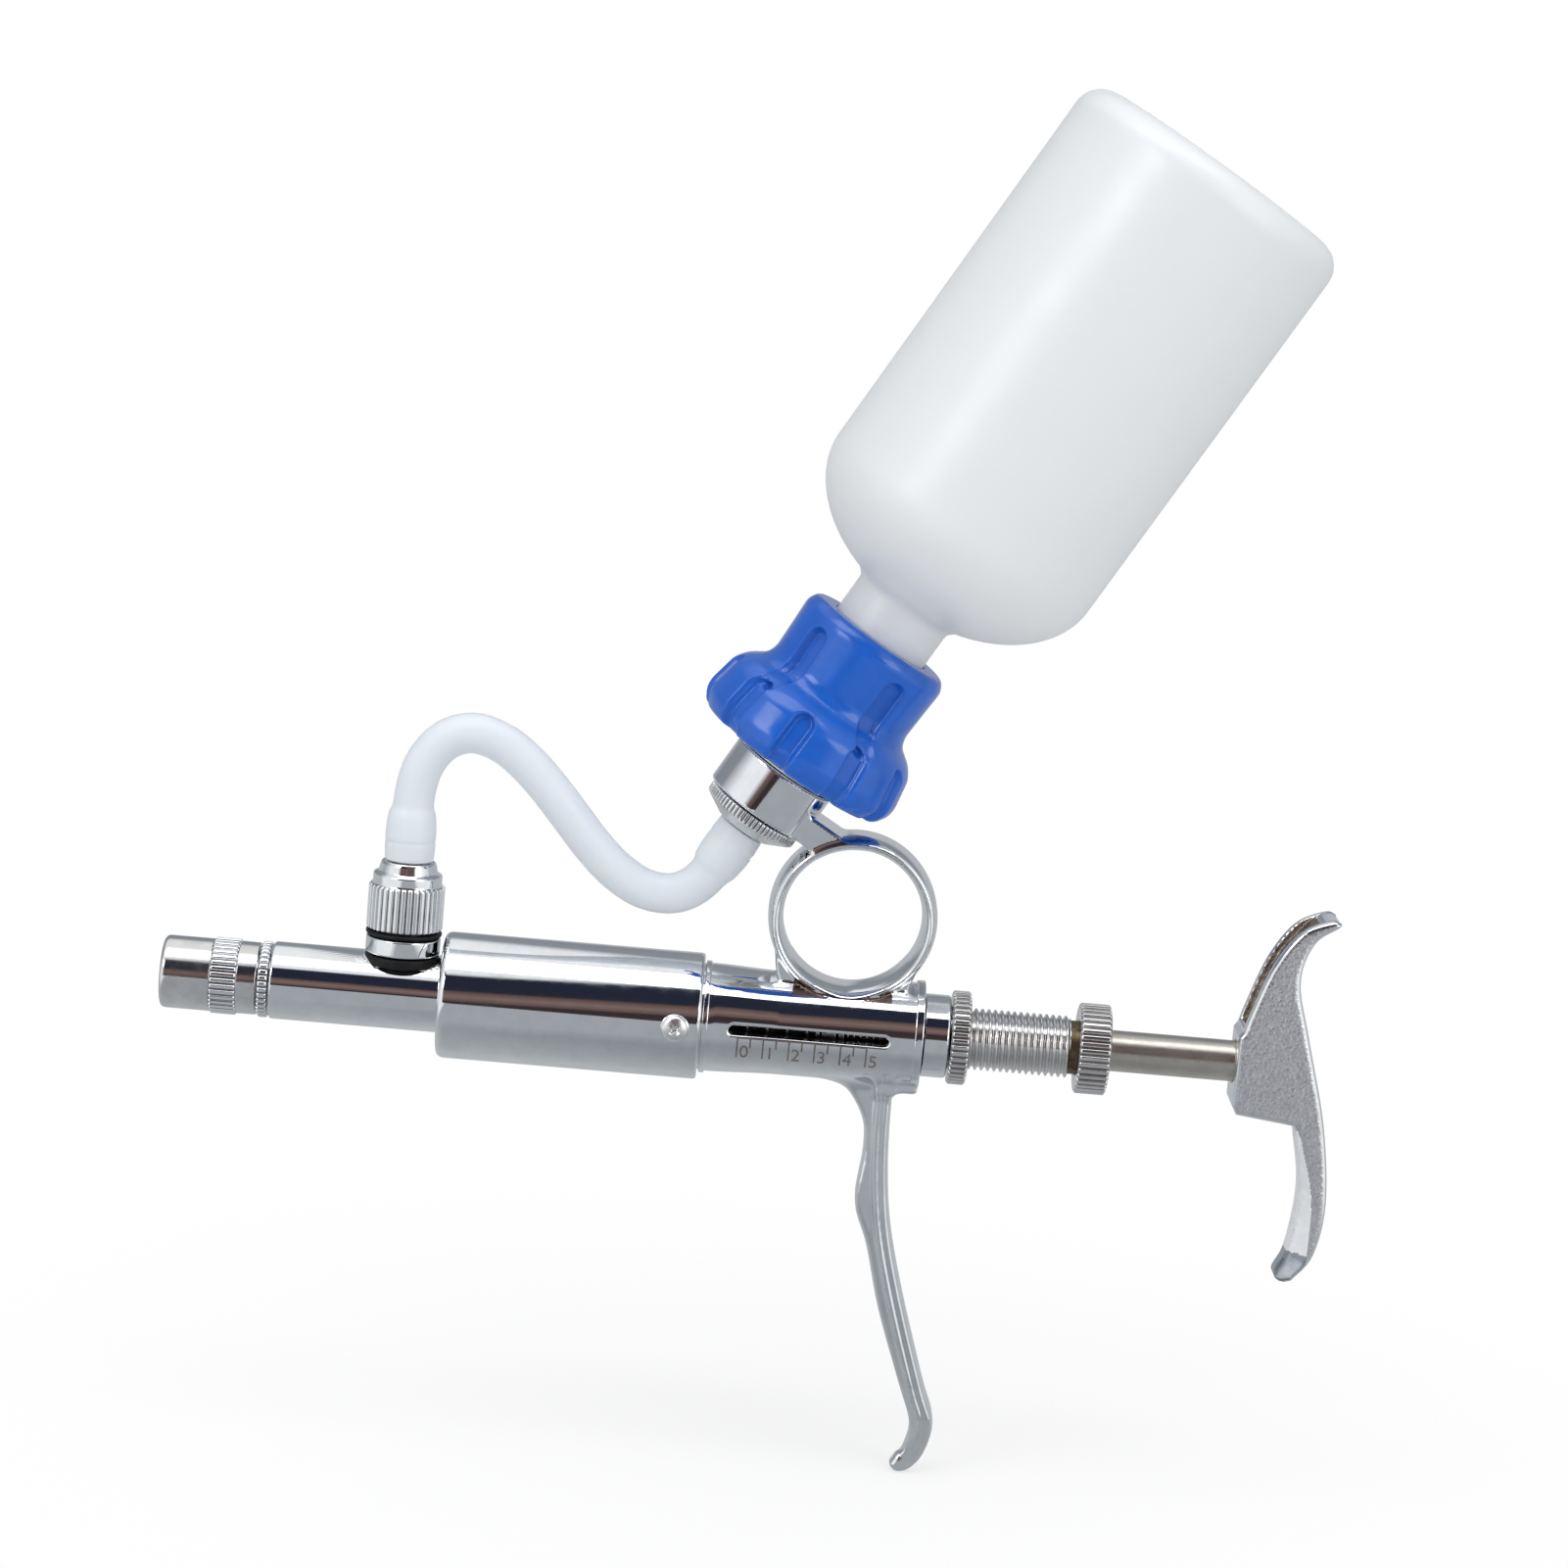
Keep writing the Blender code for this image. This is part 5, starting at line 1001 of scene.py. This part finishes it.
def ring_radii(y):
    """The finger ring's outer and inner radius, nearly round in section."""
    bulge = np.clip(np.abs(y) / RING_HALF, 0.0, 1.0) ** RING_FLATNESS
    return 16.35 - 1.1 * bulge, 13.35 + 1.25 * bulge


def ring_field(x, y, z):
    """The finger ring."""
    away = np.hypot(x, z - RING_HEIGHT)
    outer, inner = ring_radii(y)
    return soft_max(soft_max(away - outer, inner - away, 0.3), np.abs(y) - RING_HALF, 1.3)


def root_field(x, y, z):
    """The block between the ring and the barrel, which is longer above."""
    share = np.clip((z - 4.45) / 9.9, 0.0, 1.0)
    long = 13.6 - 4.1 * (1.0 - share) ** 2
    return soft_max(soft_max(np.abs(x - ROOT_X) - long, np.abs(y) - 4.6, 1.2), np.abs(z - 9.4) - 4.95, 0.3)


def lever_field(x, y, z):
    """The finger lever: a web with a bead along its rear edge."""
    low = z < 0
    result = np.full(len(x), 20.0)
    x, y, z = x[low], np.abs(y[low]), z[low]
    edge = outline_distance(x, z, lever_outline)
    behind = line_distance(x, z, lever_rear)
    run_out = np.clip((z + 85.0) / 9.0, 0.0, 1.0)
    web = soft_max(edge, y - 1.7 - 1.4 * run_out, 1.7)
    groove = 0.5 * np.exp(-((behind - 1.55) / 0.5) ** 2)
    bead = soft_max(soft_max(edge, behind - 2.9, 0.5), y - 1.6 - (3.8 - groove) * run_out, 1.5)
    result[low] = soft_min(web, bead, 1.2)
    return result


def casting_field(points):
    """The whole casting: blended shapes less its holes."""
    x, y, z = points.T
    along = (x - BOTTLE_POINT.x) * UP.x + (z - BOTTLE_POINT.z) * UP.z
    aside = (x - BOTTLE_POINT.x) * ACROSS.x + (z - BOTTLE_POINT.z) * ACROSS.z
    arm = soft_max(soft_max(np.abs(along - ARM_ALONG) - 2.77, np.abs(y) - ARM_HALF, 0.6),
                   np.abs(aside - 13.6) - 13.6, 0.5)
    socket = soft_max(np.hypot(aside, y) - 10.6, np.abs(along + 3.6) - 4.8, 0.55)
    shape = soft_min(root_field(x, y, z), barrel_field(x, y, z), 0.6)
    shape = soft_min(ring_field(x, y, z), shape, 0.7)
    shape = soft_min(shape, arm, 0.9)
    shape = soft_min(shape, socket, 0.8)
    foot = soft_max(soft_max(np.abs(x - FOOT_X) - 3.7, np.abs(y) - 5.3, 0.8), np.abs(z + 8.4) - 2.5, 0.8)
    shape = soft_min(shape, foot, 0.9)
    shape = soft_min(shape, lever_field(x, y, z), 2.4)
    shape = soft_max(shape, ring_radii(y)[1] - np.hypot(x, z - RING_HEIGHT), 0.3)
    bore = np.where(x < -34.2, 8.3, np.where(x > 9.0, 7.6, 6.7))
    shape = soft_max(shape, bore - np.hypot(y, z), 0.2)
    slot = np.hypot(x - np.clip(x, -21.15, 7.85), z) - 0.85
    shape = soft_max(shape, -soft_max(slot, y + 2.0, 0.1), 0.75)
    return soft_max(shape, 4.3 - np.hypot(aside, y), 0.2)


# %% Solids that the CAD casting lacks
def solid_box(place, size):
    """A plain box as a mesh."""
    bm = bmesh.new()
    bmesh.ops.create_cube(bm, size=MM, matrix=place @ Matrix.Diagonal((*size, 1)))
    return mesh_from("solid_box", bm)


wide_ring = mesh_from("wide_ring", spun([(-6.6, 14.2), (-6.6, 15.4), (6.6, 15.4), (6.6, 14.2)]),
                      across(0, RING_HEIGHT))
arm_middle = (BOTTLE_POINT + ARM_ALONG * UP + 12.2 * ACROSS) * MM
wide_arm = solid_box(Matrix.Translation(arm_middle) @ Matrix.Rotation(LEAN, 4, "Y"), (8.4, 2 * ARM_HALF, 5.5))
rear_foot = solid_box(Matrix.Translation(Vector((FOOT_X, 0, -9.7)) * MM), (7.4, 10.6, 2.4))

# %% Casting
casting = recast("body_casting", "main_body", casting_field, 0.41, chrome, bore_shade, satin_chrome, crevice,
                 added=(wide_ring, wide_arm, rear_foot))
for face in casting.data.polygons:
    middle = face.center / MM
    in_bore = math.hypot(middle.y, middle.z) < 9.0 and -37.6 < middle.x < 15.2
    from_ring = math.hypot(middle.x, middle.z - RING_HEIGHT)
    in_crevice = (6.6 < middle.z < 14.0 and abs(middle.x - ROOT_X) < 9.6 and abs(middle.y) < 7.2
                  and from_ring > 15.5)
    # Faces in the bore get the near-black finish, painted shade inside the barrel.
    face.material_index = 3 if in_crevice else 1 if in_bore else 2 * int(middle.z < LEVER_TOP)
stand_for(casting, "chrome", "main_body")

# %% [markdown]
# ## The dose scale
# The scale is engraved in the barrel under its window, and the engraving has gone brown. A mark is a thin
# bar, and a small tree sets such bars in a row. The figures are text made into a mesh. All of it is drawn
# flat, cut into low strips so that it can bend, and then laid on the barrel.

# %% Geometry Nodes: marks in a row
mark_row, given, end = geometry_tree("Marks in a row", ("Count", "Int", 6), ("Step", "Vector", (0.005, 0, 0)))
spots = add_value(mark_row, "GeometryNodeMeshLine", 0, {"Count": given("Count"), "Offset": given("Step")})
end(add_value(mark_row, "GeometryNodeInstanceOnPoints", 0, {"Points": spots, "Instance": given("Geometry")}))

# %% Laying a flat drawing on the barrel
MARK_STEP = 4.97
FIRST_MARK = -20.2
FIGURES = 6
STRIP = 0.3


def laid_on_barrel(mesh):
    """Bend a drawing in X and Z round the near side of the barrel; its Y is the depth."""
    bm = bmesh.new()
    bm.from_mesh(mesh)
    for height in np.arange(-6.3, 0.0, STRIP):
        bmesh.ops.bisect_plane(bm, geom=bm.verts[:] + bm.edges[:] + bm.faces[:],
                               plane_co=(0, 0, height * MM), plane_no=(0, 0, 1))
    for vert in bm.verts:
        x, depth, z = vert.co / MM
        vert.co.y = (depth - math.sqrt(barrel_radius(x) ** 2 - z * z)) * MM
    bm.to_mesh(mesh)
    bm.free()


def bar(width, top, bottom):
    """A thin upright bar from just above the skin to below it."""
    bm = bmesh.new()
    bmesh.ops.create_cube(bm, size=1, matrix=Matrix.Translation((0, 0.04 * MM, (top + bottom) / 2 * MM))
                          @ Matrix.Diagonal((width * MM, 0.12 * MM, (top - bottom) * MM, 1)))
    return mesh_from("bar", bm)


# %% Scale
marks = []
for shift, count, bottom in ((0.0, FIGURES, -5.5), (MARK_STEP / 2, FIGURES - 1, -3.3)):
    row = add_object("marks", bar(0.32, -1.35, bottom))
    mesh = run_tree(row, mark_row, {"Count": count, "Step": (MARK_STEP * MM, 0, 0), "Finish": engraved})
    mesh.transform(Matrix.Translation(((FIRST_MARK + shift) * MM, 0, 0)))
    marks.append(mesh)
    bpy.data.objects.remove(row)
base = bar((FIGURES - 1) * MARK_STEP, -1.3, -1.5)
base.transform(Matrix.Translation(((FIRST_MARK + (FIGURES - 1) / 2 * MARK_STEP) * MM, 0, 0)))
base.materials.append(engraved)
marks.append(base)
for figure in range(FIGURES):
    curve = bpy.data.curves.new("figure", "FONT")
    curve.body = str(figure)
    curve.size = 3.7 * MM
    curve.extrude = 0.05 * MM
    figure_object = add_object("figure", curve, engraved)
    mesh = evaluated_mesh(figure_object)
    bpy.data.objects.remove(figure_object)
    mesh.transform(Matrix.Translation(((FIRST_MARK + MARK_STEP * figure + 0.46) * MM, 0.02 * MM, -5.45 * MM))
                   @ Matrix.Rotation(math.radians(90), 4, "X"))
    marks.append(mesh)
for mesh in marks:
    laid_on_barrel(mesh)
dose_scale = joined("dose_scale", marks)
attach(dose_scale, "root")
print("dose scale:", len(dose_scale.data.polygons), "faces")

# %% [markdown]
# ## The palm rest
# The palm rest is a rough casting, plated without much polishing. Its sides are flat and mottled, its
# edges are round and worn bright, and the front of the horn is hollow and finished a dark brown. It is
# made by distances as well: its outline drawn out to both sides, less the hollow and the hole for the rod.

# %% Palm rest
PALM_FRONT = 76.187
PALM_HORN = [(17.7, 29.6), (15.4, 30.1), (9.8, 27.3), (5.2, 20.4), (1.8, 10.8), (0.7, 6.9)]
PALM_BLOCK = [(0.0, 6.0), (0.0, -7.6), (1.0, -9.5), (12.3, -10.8)]
PALM_HOOK = [(13.4, -13.0), (15.2, -24.0), (14.0, -35.5), (12.0, -40.5)]
PALM_TOE = [(11.95, -41.3), (12.3, -41.95), (13.0, -42.3), (14.0, -42.3)]
PALM_BACK = [(15.2, -41.75), (19.0, -36.0), (20.3, -25.5), (18.2, -10.1), (13.7, 6.3), (10.8, 17.5),
             (12.7, 25.2), (17.2, 28.9)]
HORN_FOOT = 7.6
HOOK_TOP = -11.6
TOE_TOP = -36.2


def palm_line(points, smooth=True):
    """Part of the palm rest's outline as (x, z), smooth or with its corners kept."""
    points = [tuple(point) for point in smooth_line(points, 6)] if smooth else points
    return [(PALM_FRONT + x, z) for x, z in points]


horn_line, hook_line = palm_line(PALM_HORN), palm_line(PALM_HOOK)
palm_outline = (horn_line + palm_line(PALM_BLOCK, False) + hook_line + palm_line(PALM_TOE, False)
                + palm_line(PALM_BACK))


def palm_field(points):
    """The palm rest: crisp flat sides, a hollow horn front, and a hook whose front is cut back to a pad."""
    x, y, z = points.T
    side = np.abs(y)
    edge = outline_distance(x, z, palm_outline)
    low = np.clip((-12.0 - z) / 26.0, 0.0, 1.0)
    front = line_distance(x, z, hook_line)
    sides = side - 6.0 + 0.8 * np.maximum(0.3 + 3.6 * low - front, 0.0) * (z < -11.5)
    shape = soft_max(edge, sides, 1.4)
    from_front = np.where(edge > 0, -1.0, 1.0) * line_distance(x, z, horn_line)
    fade = np.clip((PALM_FRONT + 14.5 - x) / 4.0, 0.0, 1.0)
    hollow = soft_max(soft_max(from_front - 1.8 * fade, side - 3.7, 0.5), HORN_FOOT - z, 0.4)
    shape = soft_max(shape, -hollow, 0.8)
    rod_hole = soft_max(np.hypot(y, z) - 4.3, x - PALM_FRONT - 11.3, 0.2)
    return soft_max(shape, -rod_hole, 0.3)


palm = recast("palm_casting", "palm_rest", palm_field, 0.28, chrome, cast_chrome, cast_hollow, toe_blue_grey, hook_highlight)
horn = np.array(horn_line)
for face in palm.data.polygons:
    middle = face.center / MM
    gap = np.hypot(horn[:, 0] - middle.x, horn[:, 1] - middle.z).min()
    hollow = abs(middle.y) < 3.9 and HORN_FOOT < middle.z < 29.0 and 0.45 < gap < 2.6 and middle.x < PALM_FRONT + 14
    # The toe's front faces take the darker blue-grey metal.
    toe = middle.z < TOE_TOP and face.normal.x < -0.3
    # Faces on the hook's front get the pale plating, a painted highlight.
    hook_front = TOE_TOP <= middle.z < HOOK_TOP and face.normal.x < -0.5
    face.material_index = 2 if hollow else 3 if toe else 4 if hook_front else int(abs(face.normal.y) > 0.955)
stand_for(palm, "chrome_casting", "palm_rest")

# %% [markdown]
# ## The springs
# A spring is a wire wound along a helix.

# %% Springs
TURN_STEPS = 36
WIRE_SIDES = 10


def spring_mesh(name, first, last, radius, wire, turns, place):
    """A round wire wound between two stations."""
    steps = int(turns * TURN_STEPS)
    reach = last - first - wire
    bm = bmesh.new()
    rows = []
    for step in range(steps + 1):
        angle = math.tau * turns * step / steps
        out = Vector((math.cos(angle), math.sin(angle), 0))
        middle = radius * out + Vector((0, 0, first + wire / 2 + reach * step / steps))
        heading = Vector((-out.y * radius, out.x * radius, reach / (math.tau * turns))).normalized()
        side = heading.cross(out)
        rows.append([bm.verts.new((middle + (out * math.cos(a) + side * math.sin(a)) * wire / 2) * MM)
                     for a in (math.tau * corner / WIRE_SIDES for corner in range(WIRE_SIDES))])
    skin_between(bm, rows)
    mesh = mesh_from(name, bm, place)
    mesh.shade_smooth()
    return mesh


for name, node, measures, place, joint, travel in (
        ("wound_return_spring", "return_spring", (5.25, 0.9, 8), ALONG_X, "plunger_stroke", 21.2),
        ("wound_outlet_spring", "outlet_spring", (1.3, 0.35, 2.5), ALONG_X, "outlet_ball_lift", 0.9),
        ("wound_inlet_spring", "inlet_spring", (1.3, 0.35, 2.5), UP_INLET, "inlet_ball_lift", 0.9)):
    upright = place is UP_INLET
    low, high = (corner[2 if upright else 0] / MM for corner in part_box(node))
    spring = add_object(name, spring_mesh(name, low, high, *measures, place), spring_steel)
    stand_for(spring, "spring_steel", node)
    axis, anchor = ((0, 0, 1), (INLET_X * MM, 0, low * MM)) if upright else ((1, 0, 0), (low * MM, 0, 0))
    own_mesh(spring)
    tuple(axis)
    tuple(anchor)

# %% [markdown]
# ## The rest of the CAD nodes
# What nobody sees without taking the syringe apart keeps its CAD shape and gets its finish.

# %% Finishes for the CAD nodes
NODE_FINISH = {
    "glass_cylinder": cylinder_glass, "front_seal": black_rubber, "rear_seal": black_rubber,
    "rod_guide": turned_steel, "piston": turned_steel, "piston_ring_front": black_rubber,
    "piston_ring_rear": black_rubber, "outlet_ball": spring_steel, "inlet_ball": spring_steel,
    "inlet_barb": brass, "cap_nut": turned_steel, "bottle_seal": pale_rubber}
for name, obj in frame["nodes"].items():
    if not obj.hide_render:
        obj.data.materials.clear()
        obj.data.materials.append(NODE_FINISH.get(name, chrome))
        print("kept:", name)

# %% [markdown]
# ## Studio
# The floor and the surroundings are white for the camera. A mirror shows its surroundings, so for
# reflections the world is a studio: a white ceiling, a dark room behind the camera and a pale floor.

# %% Floor
def ray_kinds(tree):
    """Whether a ray comes from the camera, straight or through something clear, and whether it is a glint."""
    rays = add_node(tree, "ShaderNodeLightPath").outputs
    camera_ray = Value(tree, rays["Is Camera Ray"])
    return camera_ray.math("MAXIMUM", Value(tree, rays["Is Transmission Ray"])), Value(tree, rays["Is Glossy Ray"])


FLOOR_HALF = 1.6
FLOOR_GAP = 0.0002
floor_mesh = bpy.data.meshes.new("floor")
floor_mesh.from_pydata([(x * FLOOR_HALF, y * FLOOR_HALF, cad_low.z - FLOOR_GAP)
                        for x, y in ((-1, -1), (1, -1), (1, 1), (-1, 1))], [], [(0, 1, 2, 3)])
material, tree, shader, place = new_material("floor", (0.86, 0.86, 0.86), 0.0, 0.9)
clear, glossy = ray_kinds(tree)
distance = add_value(tree, "ShaderNodeVectorMath", "Value", {0: place, 1: (0.0, 0.0, cad_low.z)}, operation="DISTANCE")
spot = add_node(tree, "ShaderNodeSeparateXYZ", {0: place}).outputs
aside, forth = Value(tree, spot["X"]).math("ABSOLUTE"), Value(tree, spot["Y"])
# For reflections the floor is darker near the syringe's foot, a painted shadow, and lighter at the sides, painted
# light.
painted_shadow_below = mixed(tree, distance.ranged(0.02, 0.15), (0.20, 0.21, 0.225), (0.40, 0.42, 0.45))
lit_sides = mixed(tree, aside.ranged(0.22, 0.34), painted_shadow_below, (0.94, 0.95, 0.96))
mirror_floor = mixed(tree, forth.ranged(-0.08, 0.04), lit_sides, (0.50, 0.52, 0.54))
white = add_value(tree, "ShaderNodeEmission", 0, {"Color": (1, 1, 1, 1)})
grey = add_value(tree, "ShaderNodeEmission", 0, {"Color": mirror_floor})
seen = distance.ranged(0.0, 0.22, 0.62, 1.0) * clear
plain = add_value(tree, "ShaderNodeMixShader", 0, {0: seen, 1: Value(tree, shader.outputs[0]), 2: white})
mirrored = add_value(tree, "ShaderNodeMixShader", 0, {0: glossy, 1: plain, 2: grey})
mirrored.to(tree.nodes["Material Output"].inputs["Surface"])
floor = add_object("floor", floor_mesh, material)
floor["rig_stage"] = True

# %% World
world = bpy.data.worlds.new("studio")
bpy.context.scene.world = world
world.use_nodes = True
tree = world.node_tree
clear, glossy = ray_kinds(tree)
direction = add_node(tree, "ShaderNodeSeparateXYZ", {0: add_value(tree, "ShaderNodeTexCoord", "Generated")}).outputs
x, y, z = (Value(tree, direction[label]) for label in "XYZ")
height = (z + x.ranged(-0.06, 0.04, 0.09, -0.15)).ranged(-1.0, 1.0)


def bands(*stops):
    """A colour ramp over the sine of the elevation."""
    node = add_node(tree, "ShaderNodeValToRGB", {0: height})
    elements = node.color_ramp.elements
    while len(elements) < len(stops):
        elements.new(0.5)
    for element, (sine, *colour) in zip(elements, stops):
        element.position = 0.5 + 0.5 * sine
        element.color = (*colour, 1.0)
    return Value(tree, node.outputs["Color"])


near = bands((-1.0, 0.40, 0.42, 0.45), (-0.16, 0.42, 0.44, 0.47), (-0.12, 0.05, 0.035, 0.035),
             (0.09, 0.04, 0.028, 0.03), (0.13, 0.13, 0.085, 0.08), (0.26, 0.23, 0.155, 0.14),
             (0.40, 0.13, 0.08, 0.07), (0.45, 0.020, 0.024, 0.042), (0.82, 0.018, 0.022, 0.040),
             (0.87, 0.95, 0.97, 1.0), (1.0, 1.0, 1.0, 1.0))
behind = bands((-1.0, 0.45, 0.47, 0.5), (0.1, 0.50, 0.52, 0.55), (0.3, 0.26, 0.28, 0.31),
               (0.7, 0.30, 0.32, 0.35), (0.85, 0.9, 0.92, 0.95), (1.0, 1.0, 1.0, 1.0))
front = mixed(tree, x.math("ABSOLUTE").ranged(0.42, 0.56), near, (0.97, 0.98, 1.0))
room = mixed(tree, y.ranged(-0.35, 0.25), front, behind)
lit = mixed(tree, glossy, (0.72, 0.73, 0.74), room)
mixed(tree, clear, lit, (1.0, 1.0, 1.0)).to(tree.nodes["Background"].inputs["Color"])


# %% Lamps
LAMPS_LOOK_AT = Vector((-0.015, 0, 0.05))


def soft_lamp(name, place, size, power):
    """A large soft lamp that looks at the middle of the syringe."""
    data = bpy.data.lights.new(name, "AREA")
    data.shape = "RECTANGLE"
    data.size, data.size_y = size
    data.energy = power
    lamp = bpy.data.objects.new(name, data)
    bpy.context.scene.collection.objects.link(lamp)
    lamp.location = place
    lamp.rotation_mode = "QUATERNION"
    lamp.rotation_quaternion = (LAMPS_LOOK_AT - lamp.location).to_track_quat("-Z", "Y")


soft_lamp("overhead", (0.0, -0.30, 1.15), (1.4, 0.6), 6.0)
soft_lamp("front_left", (-0.9, -0.9, 0.75), (0.5, 0.5), 3.0)
soft_lamp("front_right", (0.9, -0.9, 0.35), (0.6, 0.6), 2.4)
bpy.context.scene.view_settings.view_transform = "Standard"

# %% [markdown]
# ## Size
# The size of the finished object is printed, as that of the CAD model was at the start.

# %% Sizes and finish
low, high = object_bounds()
print("visual size in mm:", [round(side / MM, 1) for side in high - low])
